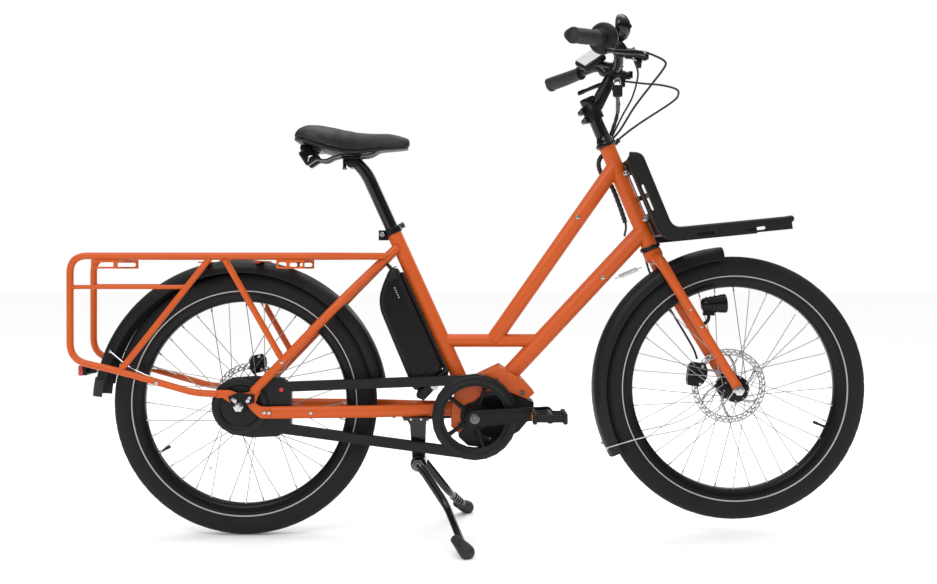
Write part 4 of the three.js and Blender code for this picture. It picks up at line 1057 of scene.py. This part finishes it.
def make_riser_and_stem():
    bm = bmesh.new()
    head_turned(bm, [(15, 258.5), (23.6, 258.8), (25, 261), (25, 266), (23.6, 268.5), (20.5, 270),
        (19.6, 276), (17.2, 280), (16.2, 286), (16.2, 366), (18, 367.2), (18.4, 369), (18.4, 381),
        (17.2, 383.5), (10, 384.2), (0, 383.8)])
    piece("riser_tube", bm, GLOSS_PAINT, "steering", "riser", angle=30)

    bm, bolts = bmesh.new(), bmesh.new()
    head_turned(bm, [(16.3, 327.5), (20.5, 327.5), (22, 329), (22, 364), (20.5, 365.8), (16.3, 365.8)])
    for height in (0.3350, 0.3570):
        add_tube(bm, [on_head(height, -0.0265, -0.0135), on_head(height, -0.0265, 0.0135)], 0.0062, 16)
        add_bolt(bolts, on_head(height, -0.0265, -0.0135), -Y, 0.0042, 0.0028)
        add_box(bm, on_head(height, -0.0265, -0.0120) - mm(0, 0, 5), on_head(height, -0.0140, 0.0120)
            + mm(0, 0, 5))
    start, stop = on_head(0.346), BAR_CLAMP
    way = (stop - start).normalized()
    arm = [start + way * 0.006, start + way * 0.030, stop - way * 0.024, stop - way * 0.010]
    add_tube(bm, arm, [0.0165, 0.0160, 0.0150, 0.0150], 28, squash=0.84, flat_way=Y)
    lathe(bm, [(11.2, -22), (17.2, -22), (18.6, -20.5), (18.6, 20.5), (17.2, 22), (11.2, 22)], BAR_CLAMP,
        Y, 36)
    front = BAR_CLAMP + way * 0.0165
    add_tube(bm, [front - Y * 0.021, front + Y * 0.021], 0.0078, 16)
    for side in (-1, 1):
        for lift in (-0.0105, 0.0105):
            up = way.cross(Y).normalized()
            add_bolt(bolts, front + up * lift + Y * side * 0.014, way, 0.0042, 0.0040)
    piece("stem_body", bm, BLACK_ALLOY, "steering", "stem", angle=40)
    piece("stem_bolts", bolts, DARK_STEEL, "steering")
    grooves = bmesh.new()
    for side in (-1, 1):
        inset = mm(0, side * 12.4, 0)
        add_tube(grooves, [start + way * 0.034 + inset, stop - way * 0.028 + inset], 0.0042, 12,
            squash=0.4, flat_way=Y)
    piece("stem_grooves", grooves, SMOOTH_PLASTIC, "steering", slot="black_alloy")


def half_bar(side):
    return [on_bar(side, 0.122), on_bar(side, -0.045), mm(333, side * 132, 1135), mm(342, side * 70, 1108),
        mm(340, side * 34, 1103)]


def make_handlebar():
    bm = bmesh.new()
    path = rounded(half_bar(-1) + list(reversed(half_bar(1))), 0.036, 8)
    sizes = [0.0110 + 0.0022 * max(0.0, 1 - abs(spot.y) / 0.050) for spot in path]
    add_tube(bm, path, sizes, 24)
    piece("bent_bar", bm, BLACK_ALLOY, "steering", "handlebar", angle=50)

    bm, bolts = bmesh.new(), bmesh.new()
    for side in (-1, 1):
        inner, outer = mm(346, side * 112, 1125), mm(324, side * 140, 1138)
        way = (outer - inner).normalized()
        lathe(bm, [(11, 4), (16, 4), (17.2, 6), (17.2, 24), (16, 26), (11, 26)], inner, way, 32)
        add_tube(bm, flowing([mm(352, side * 116, 1124), mm(368, side * 122, 1121),
            mm(384, side * 122, 1117), mm(398, side * 118, 1116)], 5), [0.0145] * 6 + [0.0135] * 5
            + [0.0115] * 5, 20, squash=0.85, flat_way=Z)
        lathe(bm, [(8.5, 0), (8.5, 7.5), (6, 8.5), (4.5, 15), (3.6, 18)], mm(378, side * 126, 1106),
            point(0.25, 0, -0.97), 20)
        for lift in (-0.011, 0.013):
            add_bolt(bolts, point(0.366, side * 0.1360, 1.118 + lift), Y * side, 0.0038, 0.0030)
    piece("lever_clamps", bm, SMOOTH_PLASTIC, "steering", slot="black_alloy", bevel=0.0010)
    piece("lever_clamp_bolts", bolts, STEEL, "steering")


def make_grips():
    for word, side in SIDES:
        start = on_bar(side, 0)
        way = (on_bar(side, 1) - start).normalized()
        inner = 0.030 if word == "right" else 0.008
        profile = [(0.0112, inner), (0.0175, inner), (0.0180, inner + 0.004)]
        for i in range(18):
            along = inner + 0.008 + (0.120 - inner) * i / 18
            swell = 0.0158 + 0.0012 * sin(pi * i / 17)
            profile += [(swell, along), (swell, along + 0.0030), (swell - 0.0005, along + 0.0038),
                (swell - 0.0005, along + 0.0046)]
        profile += [(0.0168, 0.1230), (0.0176, 0.1250), (0.0176, 0.1300), (0.0162, 0.1318),
            (0.0140, 0.1318), (0.0135, 0.1308), (0.0100, 0.1308), (0.0095, 0.1316), (0, 0.1316)]
        bm = bmesh.new()
        add_turned(bm, profile, start, way, 40)
        back = (point(-1, 0, 0.12) - way * way.dot(point(-1, 0, 0.12))).normalized()
        for vert in bm.verts:
            offset = vert.co - start
            along, behind = offset.dot(way), offset.dot(back)
            palm = max(0.0, min(1.0, (along - 0.045) / 0.065, (0.1285 - along) / 0.006))
            if behind > 0.004:
                vert.co += back * (behind - 0.004) * 0.85 * palm ** 1.5
        piece(f"{word}_grip_sleeve", bm, RUBBER, "steering", f"{word}_grip", angle=60)

    bm = bmesh.new()
    start = on_bar(-1, 0)
    way = (on_bar(-1, 1) - start).normalized()
    profile = [(0.0112, -0.0190), (0.0250, -0.0190), (0.0305, -0.0165), (0.0335, -0.0120),
        (0.0350, -0.0060), (0.0350, 0.0000), (0.0335, 0.0030), (0.0300, 0.0052), (0.0235, 0.0060),
        (0.0215, 0.0085)]
    for i in range(6):
        along = 0.0090 + 0.0034 * i
        profile += [(0.0200, along), (0.0200, along + 0.0020), (0.0190, along + 0.0024),
            (0.0190, along + 0.0032)]
    profile += [(0.0180, 0.0300), (0.0112, 0.0300)]
    add_turned(bm, profile, start, way, 48)
    piece("shifter_collar", bm, PLASTIC, "shifter", "twist_shifter", angle=40)


def make_levers():
    for word, side in SIDES:
        path = flowing([mm(398, side * 118, 1118), mm(380, side * 160, 1116), mm(330, side * 212, 1108),
            mm(285, side * 280, 1098)], 8)
        count = len(path) - 1
        sizes = [0.0046 + 0.0012 * sin(pi * i / count) + (0.0014 if i > count - 3 else 0)
            for i in range(count + 1)]
        bm = bmesh.new()
        add_tube(bm, path, sizes, 20, squash=0.62, flat_way=point(0.8, 0.6 * side, 0))
        lathe(bm, [(4.8, -8.5), (6, -8), (6, 8), (4.8, 8.5)], path[0], Z, 20)
        piece(f"{word}_lever_blade", bm, SMOOTH_PLASTIC, f"{word}_lever", f"{word}_brake_lever",
            slot="black_alloy", angle=50)


def make_bell_and_display():
    centre, way = mm(336, -148, 1177), point(cos(0.36), -sin(0.36), 0)
    bm = bmesh.new()
    dome = [(0.0290, -0.0008), (0.0290, 0.0012)]
    for i in range(1, 13):
        angle = pi / 2 * i / 12
        dome.append((0.0288 * cos(angle), 0.0012 + 0.0220 * sin(angle)))
    dome[-1] = (0.0040, 0.0231)
    add_turned(bm, dome + [(0.0042, 0.0240), (0.0030, 0.0250), (0, 0.0252)], centre, way, 56)
    piece("bell_dome", bm, GLOSS_PAINT, "steering", "bell", angle=40)
    bm = bmesh.new()
    lathe(bm, [(27.5, -1.2), (27.5, -6), (24, -7.8), (0, -7.8)], centre, way, 40)
    add_tube(bm, rounded([centre - way * 0.004, mm(350, -150, 1158), mm(336, -139, 1150)], 0.01), 0.0062,
        16)
    lathe(bm, [(11.2, -6), (15, -6), (15, 6), (11.2, 6)], mm(329, -136.5, 1136.5),
        point(-0.30, -0.90, 0.10), 28)
    add_tube(bm, flowing([centre - way * 0.006 - Z * 0.012, mm(326, -160, 1158), mm(312, -170, 1164)],
        6), 0.0030, 10)
    piece("bell_base", bm, PLASTIC, "steering", angle=40)

    slope = Matrix.Rotation(-radians(34), 3, "Y")
    roll = Matrix.Rotation(radians(26), 3, slope @ X)
    tilt = roll @ slope
    centre = mm(284, -4, 1130)
    bm = bmesh.new()
    add_box(bm, centre - mm(30, 38, 8.5), centre + mm(30, 38, 8.5), tilt, centre)
    piece("display_case", bm, SMOOTH_PLASTIC, "steering", "display", bevel=0.0075, segments=5)
    bm = bmesh.new()
    add_box(bm, centre + mm(-24.5, -32.5, 8), centre + mm(24.5, 32.5, 9.8), tilt, centre)
    piece("display_glass", bm, SCREEN, "steering", bevel=0.0006)
    bm = bmesh.new()
    add_tube(bm, rounded([mm(290, 0, 1124), mm(308, 0, 1123), mm(330, 30, 1112)], 0.008), 0.0075, 16)
    add_tube(bm, rounded([mm(290, 0, 1124), mm(308, 0, 1123), mm(330, -30, 1112)], 0.008), 0.0075, 16)
    for y in (-0.030, 0.030):
        lathe(bm, [(12, -5), (16.2, -5), (16.2, 5), (12, 5)], point(0.3400, y, 1.1035), Y, 28)
    piece("display_bracket", bm, PLASTIC, "steering", angle=40)


def make_key():
    bm = bmesh.new()
    add_box(bm, mm(334.5, -28.5, 1039.5), mm(357.5, -19.5, 1068))
    piece("key_head", bm, PLASTIC, "steering", bevel=0.0038)
    bm = bmesh.new()
    blade = [(0.3420, 1.041), (0.3420, 1.006), (0.3450, 1.000), (0.3490, 1.000), (0.3490, 1.005),
        (0.3515, 1.009), (0.3490, 1.012), (0.3515, 1.016), (0.3490, 1.020), (0.3505, 1.024),
        (0.3505, 1.041)]
    add_plate(bm, blade, -0.0252, -0.0228)
    piece("key_blade", bm, STEEL, "steering")
    bm = bmesh.new()
    loop = [point(0.345 + 0.0080 * cos(a), -0.0235 + 0.0015 * sin(a), 1.0745
        + 0.0100 * sin(a)) for a in (2 * pi * i / 20 for i in range(20))]
    add_tube(bm, loop + [loop[0]], 0.0009, 8)
    piece("key_ring", bm, STEEL, "steering")


# ---- hoses and cables -------------------------------------------------------------------------

BLENDED = None
HOSE_RADIUS = 0.0026
FRONT_HOSE_TOP = ((386, -122, 1128), (413, -115, 1121), (444, -96, 1110), (446, -78, 1098),
    (420, -45, 1062), (388, -10, 1018), (360, 16, 970), (334, 28, 930), (352, 29, 880), (374, 29, 816))
FRONT_HOSE_LOW = ((374, 29, 816), (395, 29, 758), (416, 30, 700), (424, 36, 650), (452, 62, 592),
    (536, 64, 452), (549, 45, 414))
REAR_HOSE = ((386, 122, 1102), (430, 112, 1095), (470, 94, 1088), (503, 78, 1076), (508, 68, 1062),
    (490, 54, 1040), (409, 35, 986), (366, 32, 954), (336, 29, 926), (308, 26, 900), (312, 26, 868),
    (336, 25, 834), (369, 14, 748), (366, 0, 711))


def in_metres(points):
    return [point(*place) / 1000 for place in points]


def add_hose(name, route):
    """A hose that crosses the steering joint, swept along its route and tied to no body."""
    path = flowing(in_metres(route), 14)
    bm = bmesh.new()
    add_tube(bm, path, HOSE_RADIUS, 12)
    hose = piece(name, bm, RUBBER, BLENDED, "brake_hoses", slot="hose_rubber", angle=60)
    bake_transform(hose)


def make_hoses():
    add_hose("front_hose_upper", FRONT_HOSE_TOP)
    add_hose("front_hose_lower", FRONT_HOSE_LOW)
    add_hose("rear_hose", REAR_HOSE)

    bm = bmesh.new()
    wrapped = flowing([mm(356, 26, 944), mm(332, 27, 920), mm(309, 26, 896), mm(312, 26, 866),
        mm(338, 24, 832), mm(356, 18, 786), mm(369, 10, 744)], 24)
    sizes = [0.0052 + (0.0009 if i % 6 < 2 else 0) for i in range(len(wrapped))]
    add_tube(bm, wrapped, sizes, 14)
    sleeve = piece("cable_wrap", bm, RUBBER, BLENDED, slot="hose_rubber", angle=60)
    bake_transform(sleeve)

    bm = bmesh.new()
    lead = flowing([mm(372, -112, 1108), mm(384, -88, 1080), mm(378, -40, 1036), mm(362, 8, 1000),
        mm(340, 26, 952), mm(333, 28, 930)], 10)
    add_tube(bm, lead, 0.0022, 10)
    thick = flowing([mm(334, 12, 1078), mm(352, 14, 1040), mm(350, 18, 1000), mm(338, 26, 960),
        mm(334, 28, 934)], 12)
    add_tube(bm, thick, [0.0042 + (0.0007 if i % 5 < 2 else 0) for i in range(len(thick))], 12)
    piece("display_leads", bm, RUBBER, "steering", slot="hose_rubber", angle=60)


# ---- saddle and seat post ---------------------------------------------------------------------

SADDLE_NOSE = -0.145
SADDLE_TAIL = -0.419


def saddle_row(share):
    """Half width, top height and lower edge height of the saddle, from the tail (0) to the nose (1)."""
    rows = ((0.00, 0.060, 0.9570, 0.9330), (0.05, 0.082, 0.9660, 0.9300), (0.12, 0.0980, 0.9700, 0.9250),
        (0.22, 0.1020, 0.9695, 0.9160), (0.33, 0.0910, 0.9650, 0.9070), (0.45, 0.0670, 0.9590, 0.9025),
        (0.56, 0.0465, 0.9550, 0.9040), (0.68, 0.0355, 0.9535, 0.9090), (0.80, 0.0295, 0.9535, 0.9130),
        (0.90, 0.0265, 0.9530, 0.9150), (0.97, 0.0235, 0.9510, 0.9170), (1.00, 0.0180, 0.9460, 0.9220))
    for before, after in zip(rows, rows[1:]):
        if share <= after[0]:
            t = (share - before[0]) / (after[0] - before[0])
            t = t * t * (3 - 2 * t) * 0.5 + t * 0.5
            return [a + (b - a) * t for a, b in zip(before[1:], after[1:])]
    return list(rows[-1][1:])


def saddle_loop(share, shrink=0.0):
    half, top, edge = saddle_row(share)
    half, top = half - shrink, top - shrink * 0.6
    x = SADDLE_TAIL + (SADDLE_NOSE - SADDLE_TAIL) * share
    loop = []
    for i in range(25):
        angle = pi * i / 24
        y = half * math.copysign(abs(cos(angle)) ** 0.80, cos(angle))
        z = edge + 0.004 + (top - edge - 0.004) * sin(angle) ** 0.62
        groove = math.exp(-((y / 0.011) ** 2)) * 0.0045 * max(0.0, sin(pi * min(1, share * 1.15)))
        loop.append(point(x, y, z - groove))
    for i in range(1, 12):
        across = -1 + 2 * i / 12
        loop.append(point(x, half * 0.97 * across, edge + 0.013 * (1 - across * across)))
    return loop


def saddle_edge(side, first, last, inset, lift):
    """Points along the lower edge; inset turns the half width into a distance sideways."""
    path = []
    for share in (i / 40 for i in range(first, last)):
        half, _, low = saddle_row(share)
        path.append(point(SADDLE_TAIL + (SADDLE_NOSE - SADDLE_TAIL) * share, side * inset(half), low + lift))
    return path


def padded_shell(shrink):
    bm = bmesh.new()
    loft(bm, [[bm.verts.new(spot) for spot in saddle_loop(i / 40, shrink)] for i in range(41)])
    return bm


def swell(obj, cap):
    """Puffs a closed skin with Blender's cloth; no point moves further than cap."""
    scene = bpy.context.scene
    remesh = obj.modifiers.new("even", "REMESH")
    remesh.mode = "VOXEL"
    remesh.voxel_size = 0.005
    bpy.context.view_layer.objects.active = obj
    bpy.ops.object.modifier_apply(modifier="even")
    cloth = obj.modifiers.new("cloth", "CLOTH")
    cloth.settings.use_pressure = True
    cloth.settings.uniform_pressure_force = 4
    cloth.settings.effector_weights.gravity = 0
    for step in range(1, 21):
        scene.frame_set(step)
    puffed = obj.evaluated_get(bpy.context.evaluated_depsgraph_get()).data
    steps = [stop.co - start.co for start, stop in zip(obj.data.vertices, puffed.vertices)]
    obj.modifiers.remove(cloth)
    scene.frame_set(1)
    for vert, step in zip(obj.data.vertices, steps):
        vert.co += step * min(1, cap / max(step.length, cap))


def make_saddle():
    skin = to_object("saddle_cushion", padded_shell(0.0022))
    swell(skin, 0.0040)
    settle(skin, LEATHER, "seat", "saddle", angle=80)
    relax = skin.modifiers.new("relax", "SMOOTH")
    relax.iterations = 4
    relax.factor = 0.5
    even = skin.modifiers.new("even", "SUBSURF")
    even.levels = even.render_levels = 1

    bm = bmesh.new()
    for side in (-1, 1):
        add_tube(bm, saddle_edge(side, 2, 39, lambda half: half - 0.0020, 0.0050), 0.0013, 10)
    piece("saddle_piping", bm, THREAD, "seat", angle=60)

    bm = bmesh.new()
    left, right = (saddle_edge(side, 1, 40, lambda half: half * 0.93, 0.0) for side in (1, -1))
    loop = left + right[::-1]
    top = [bm.verts.new((x, y, z + 0.006)) for x, y, z in loop]
    low = [bm.verts.new((x, y * 0.94, z + 0.0005)) for x, y, z in loop]
    bridge(bm, top, low)
    for ring in (top, low):
        bridge(bm, ring[:len(left)], ring[:len(left) - 1:-1], closed=False)
    piece("saddle_base", bm, PLASTIC, "seat", angle=40)


def make_seat_support():
    bm = bmesh.new()
    for side in (-1, 1):
        path = flowing([mm(-388, side * 36, 899), mm(-350, side * 26, 889), mm(-326, side * 20, 897.5),
            mm(-300, side * 20, 902), mm(-268, side * 20, 900), mm(-242, side * 19, 902),
            mm(-222, side * 15, 912), mm(-206, side * 9, 924)], 8)
        add_tube(bm, path, 0.0036, 14)
    piece("saddle_rail_wires", bm, DARK_STEEL, "seat", "saddle_rails", angle=60)

    bm, shine = bmesh.new(), bmesh.new()
    turn = Matrix.Rotation(radians(-33), 3, "Y")
    for side in (-1, 1):
        centre = mm(-384, side * 32, 899)
        add_box(bm, centre - mm(17, 13, 19), centre + mm(17, 13, 19), turn, centre)
        # Painted highlight: a thin bright steel streak on each damper's side face stands in for the glint of
        # light on the black plastic.
        add_tube(shine, flowing([centre + mm(0, side * 13.6, -14), centre + mm(3, side * 14, -4), centre
            + mm(10, side * 13.6, 0)], 6), 0.0022, 8)
    add_box(bm, mm(-404, -40, 910), mm(-352, 40, 926))
    piece("saddle_dampers", bm, SMOOTH_PLASTIC, "seat", bevel=0.0060, segments=4)
    # The steel streaks are painted highlights, not real parts of the dampers.
    piece("saddle_damper_painted_highlights", shine, STEEL, "seat")

    bm = bmesh.new()
    post = rounded([on_seat(0.170), on_seat(-0.150), mm(-286, 0, 897)], 0.030, 10)
    add_tube(bm, post, [0.0155 - 0.0015 * max(0, i - len(post) + 9) / 9 for i in range(len(post))], 32)
    piece("post_tube", bm, GLOSS_PAINT, "seat", "seat_post", angle=50)
    bm, bolts = bmesh.new(), bmesh.new()
    add_box(bm, mm(-308, -27, 893.5), mm(-262, 27, 900))
    add_box(bm, mm(-306, -26, 903), mm(-264, 26, 909.5))
    lathe(bm, [(12, -22), (15, -20), (15, 20), (12, 22)], mm(-285, 0, 888), Y, 28)
    for x in (-0.303, -0.268):
        add_tube(bm, [point(x, 0, 0.874), point(x, 0, 0.909)], 0.0042, 16)
        add_bolt(bolts, point(x, 0, 0.8745), -Z, 0.0056, 0.0050)
    piece("post_clamp", bm, BLACK_ALLOY, "seat", bevel=0.0020)
    piece("post_clamp_bolts", bolts, DARK_STEEL, "seat")


def make_seat_collar():
    bm, metal = bmesh.new(), bmesh.new()
    lathe(bm, [(15.8, 6), (19, 6), (21.2, 4), (21.2, -8), (19, -10), (18.2, -10)], SEAT_TOP, SEAT_UP, 40)
    for side in (-1, 1):
        add_box(bm, on_seat(0.0065, 0.030, side * 0.0045) - mm(8.5, 3, 6),
            on_seat(-0.0020, 0.020, side * 0.0045) + mm(8.5, 3, 6))
    piece("seat_collar", bm, BLACK_ALLOY, bevel=0.0014)
    lathe(metal, [(6.2, 0), (6.2, 6), (4.8, 7.2), (0, 7.2)], on_seat(-0.0005, 0.027, -0.0075), -Y, 20)
    add_tube(metal, [on_seat(-0.0005, 0.027, -0.008), on_seat(-0.0005, 0.027, 0.026)], 0.0032, 16)
    piece("seat_collar_pin", metal, STEEL)
    bm = bmesh.new()
    cam, tip = on_seat(-0.003, 0.027, 0.028), on_seat(-0.003, -0.030, 0.030)
    add_tube(bm, [cam - SEAT_UP * 0.008, cam + SEAT_UP * 0.008], 0.0062, 20)
    blade = flowing([cam, cam.lerp(tip, 0.35) + Y * 0.003, cam.lerp(tip, 0.75) + Y * 0.002, tip],
        6)
    sizes = [0.0042 + 0.0030 * i / (len(blade) - 1) for i in range(len(blade))]
    add_tube(bm, blade, sizes, 20, squash=0.55, flat_way=Y)
    piece("collar_lever", bm, DARK_STEEL, "quick_release", "seat_quick_release", angle=50)


make_fork()
make_riser_and_stem()
make_handlebar()
make_grips()
make_levers()
make_bell_and_display()
make_key()
make_hoses()
make_saddle()
make_seat_support()
make_seat_collar()


# ---- front tray, brakes and stand ----------------------------------------------------------------

TRAY_HALF = 0.150
TRAY_LIFT = radians(5.7)


def make_tray():
    inner = TRAY_HALF - 0.0075
    top_line = rounded([mm(356, 0, 890), mm(380, 0, 889), mm(450, 0, 719), mm(720, 0, 745.5)], 0.026, 8)
    low_line = rounded([mm(349, 0, 878), mm(430, 0, 693.5), mm(722.5, 0, 722.5)], 0.034, 8)
    slots = [capsule(mm(512, 0, 710.5), mm(546, 0, 713.9), 0.0038, 0.0038, 6),
             capsule(mm(622, 0, 721.5), mm(658, 0, 725.1), 0.0038, 0.0038, 6),
             capsule(mm(386, 0, 819), mm(408, 0, 768), 0.0036, 0.0036, 6)]
    bm = bmesh.new()
    for side in (-1, 1):
        add_plate(bm, [(spot.x, spot.z) for spot in top_line + low_line[::-1]], side * (TRAY_HALF - 0.0055),
                  side * TRAY_HALF, slots)
        add_tube(bm, [spot + Y * side * inner for spot in top_line], 0.0070, 20)
    for start in (mm(372, 0, 884), top_line[-1]):
        add_tube(bm, [start - Y * inner, start + Y * inner], 0.0080, 20)
        for side in (-1, 1):
            bmesh.ops.create_uvsphere(bm, u_segments=20, v_segments=12, radius=0.0080,
                                      matrix=Matrix.Translation(start + Y * side * (TRAY_HALF - 0.0080)))
    piece("tray_rim", bm, PLASTIC, "frame", "front_rack", bevel=0.0012, angle=40)

    bm = bmesh.new()

    def bar(ends, low, high, y_low, y_high, way):
        """A flat bar between two points, from low to high along way."""
        loft(bm, [[bm.verts.new(end + Y * y + way * up) for y, up in (
            (y_low, low), (y_high, low), (y_high, high), (y_low, high))] for end in ends])

    def floor_bar(x_low, x_high, y_low, y_high, low=0.0, high=0.0050):
        ends = [point(x, 0, 0.7120 + (x - 0.447) * math.tan(TRAY_LIFT)) for x in (x_low, x_high)]
        bar(ends, low, high, y_low, y_high, Z)

    for y_low, y_high in ((-0.140, -0.124), (-0.092, -0.070), (-0.038, -0.016), (0.016, 0.038),
                          (0.070, 0.092), (0.124, 0.140)):
        floor_bar(0.452, 0.716, y_low, y_high)
        floor_bar(0.470, 0.706, y_low + 0.003, y_high - 0.003, 0.0050, 0.0074)
    for x_low, x_high in ((0.450, 0.505), (0.594, 0.612), (0.690, 0.716)):
        floor_bar(x_low, x_high, -0.140, 0.140, -0.0004, 0.0046)
    piece("tray_floor", bm, PLASTIC, bevel=0.0014)

    bm = bmesh.new()
    top_corner = mm(368, 0, 886)
    slope = (mm(442, 0, 708) - top_corner).normalized()
    for start, stop, y_low, y_high in (
        (0.004, 0.024, -0.140, 0.140), (0.150, 0.188, -0.140, 0.140), (0.010, 0.180, -0.140, -0.124),
        (0.010, 0.180, -0.050, -0.036), (0.010, 0.180, 0.036, 0.050), (0.010, 0.180, 0.124, 0.140),
        (0.086, 0.098, -0.130, 0.130),
    ):
        bar([top_corner + slope * reach for reach in (start, stop)], -0.0035, 0.0035, y_low, y_high,
            slope.cross(Y).normalized())
    piece("tray_back", bm, PLASTIC, bevel=0.0014)

    bm, bolts = bmesh.new(), bmesh.new()
    for height in (0.182, 0.064):
        start, stop = on_head(height, 0.016), on_head(height, 0.040)
        for side in (-1, 1):
            add_tube(bm, [end + Y * side * 0.0125 for end in (start, stop)], [0.0085, 0.0095], 16, 0.55, Y)
            add_washer(bolts, start + Y * side * 0.0172, Y * side, 0.0068, 0.0012)
            add_bolt(bolts, start + Y * side * 0.0182, Y * side, 0.0052, 0.0042)
        add_tube(bm, [stop - Y * 0.045, stop + Y * 0.045], 0.0065, 14)
        add_tube(bolts, [start - Y * 0.018, start + Y * 0.018], 0.0030, 12)
    piece("tray_arms", bm, PLASTIC, bevel=0.0010)
    piece("tray_bolts", bolts, STEEL)


def make_caliper(node, body, wheel_centre, tilt):
    """A disc brake caliper: two halves, a bridge, two socket bolts and a banjo for the hose."""
    low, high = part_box(node)
    centre = (low + high) / 2
    reach = (high - low) / 2
    spin = Matrix.Rotation(tilt, 3, "Y")

    def turned(x, y, z):
        return centre + spin @ point(x, 0, z) + point(0, y, 0)

    bm, bolts = bmesh.new(), bmesh.new()
    shape = [(-0.95, -0.55), (-0.80, -0.95), (0.35, -0.95), (0.70, -0.62), (0.95, -0.20), (0.95, 0.50),
        (0.60, 0.95), (-0.60, 0.95), (-0.95, 0.60)]
    across = min(reach.x, reach.z) * 1.02
    along = max(reach.x, reach.z) * 0.88
    outline = [(turned(across * a, 0, along * b).x, turned(across * a, 0, along * b).z) for a, b in shape]
    for side in (-1, 1):
        y_in, y_out = centre.y + side * 0.0026, centre.y + side * 0.0112
        add_plate(bm, outline, y_in, y_out)
        lathe(bm, [(10.8, 0), (10.4, 1.6), (9, 2.6), (4.8, 2.6), (4.2, 1.4), (0, 1.4)],
            turned(0, side * 0.0112, -along * 0.15), Y * side, 28)
    away = (centre - wheel_centre)
    away = point(away.x, 0, away.z).normalized()
    add_tube(bm, [centre + away * 0.010 - Y * 0.0105, centre + away * 0.010 + Y * 0.0105],
        0.0095, 20)
    for reach_z in (-0.70, 0.72):
        spot = turned(across * 0.35, 0, along * reach_z)
        add_bolt(bolts, point(spot.x, centre.y - 0.0112, spot.z), -Y, 0.0042, 0.0034)
        add_bolt(bolts, point(spot.x, centre.y + 0.0112, spot.z), Y, 0.0042, 0.0034)
    piece(f"{node}_body", bm, SMOOTH_PLASTIC, body, node, slot="black_alloy", bevel=0.0016)
    piece(f"{node}_bolts", bolts, STEEL, body)


def make_stand():
    bm, feet, nuts = bmesh.new(), bmesh.new(), bmesh.new()
    for word, side in SIDES:
        path = rounded([mm(-125, side * 48, 173), mm(-112, side * 56, 160), mm(-57, side * 86, 84),
                        mm(-16, side * 216, 18)], 0.022, 8)
        count = len(path) - 1
        add_tube(bm, path, [0.0112 - 0.0026 * i / count for i in range(count + 1)], 24)
        for share in (0.20, 0.34, 0.48, 0.62) if word == "left" else ():
            lathe(bm, [(9, -6), (10.8, -4), (10.8, 4), (9, 6)], path[-2].lerp(path[-1], share),
                  path[-1] - path[-2], 24)
        heel, toe = mm(-38, side * 182, 34), mm(-8, side * 224, 12.5)
        way = (toe - heel).normalized()
        first = len(feet.verts)
        add_tube(feet, [heel.lerp(toe, share) for share in (0, 0.25, 0.55, 0.8, 1)]
                 + [toe + way * 0.006, toe + way * 0.010],
                 [0.0104, 0.0122, 0.0150, 0.0168, 0.0166, 0.0140, 0.0070], 28)
        feet.verts.ensure_lookup_table()
        for vert in feet.verts[first:]:
            vert.co.z = max(vert.co.z, 0.0)
        lathe(feet, [(5.8, 0), (8, 0), (8, 2.2), (5.8, 2.2)],
              heel.lerp(toe, 0.62) + mm(-8.5, side * -6, 12.5),
              point(-0.55, -side * 0.35, 0.75), 24, closed=True)
        lathe(nuts, [(15, 0), (15, 1.6), (11, 2.2), (8.5, 5), (4.8, 5), (4.4, 2), (0, 2)],
              STAND_PIVOT + Y * side * 0.0560, Y * side, 6)
    add_tube(bm, [STAND_PIVOT - Y * 0.056, STAND_PIVOT + Y * 0.056], 0.0112, 28)
    piece("stand_legs", bm, GLOSS_PAINT, "stand", "kickstand", slot="stand_steel", angle=50)
    piece("stand_feet", feet, RUBBER, "stand", angle=50)
    piece("stand_pivot_nuts", nuts, DARK_STEEL, "stand")


def make_stand_spring():
    turns, steps, length = 15, 12, 0.060
    coil = []
    for i in range(turns * steps + 1):
        angle = 2 * pi * i / steps
        coil.append(mm(-135, 39.5, 192) + point(-0.0045 * cos(angle), 0.0045 * sin(angle),
                                                length * i / (turns * steps)))
    spring = bmesh.new()
    add_tube(spring, coil, 0.0009, 8)
    piece("stand_spring", spring, DARK_STEEL)


def make_steering_spring():
    start, stop = mm(345, 0, 610), mm(405, 0, 636)
    way = (stop - start).normalized()
    up = way.cross(Y)
    bm = bmesh.new()
    coil = []
    turns, steps = 13, 14
    for i in range(turns * steps + 1):
        angle = 2 * pi * i / steps
        share = 0.14 + 0.72 * i / (turns * steps)
        coil.append(start.lerp(stop, share) + (Y * cos(angle) + up * sin(angle)) * 0.0046)
    add_tube(bm, [start - way * 0.002, start + way * 0.010], 0.0014, 8)
    add_tube(bm, [stop - way * 0.010, stop + way * 0.002], 0.0014, 8)
    add_tube(bm, coil, 0.0011, 8)
    piece("straightening_spring", bm, STEEL, "frame", "steering_spring", angle=60)


def make_bracket_bolts():
    bm = bmesh.new()
    for side in (-1, 1):
        for x, z in ((-0.142, 0.2798), (-0.118, 0.2798)):
            add_bolt(bm, point(x, side * 0.0460, z), Y * side, 0.0030, 0.0022)
    piece("stand_bracket_bolts", bm, STEEL)


make_tray()
make_caliper("rear_caliper", "frame", REAR, radians(-12))
make_caliper("front_caliper", "steering", FRONT, radians(8))
make_stand()
make_stand_spring()
make_steering_spring()
make_bracket_bolts()
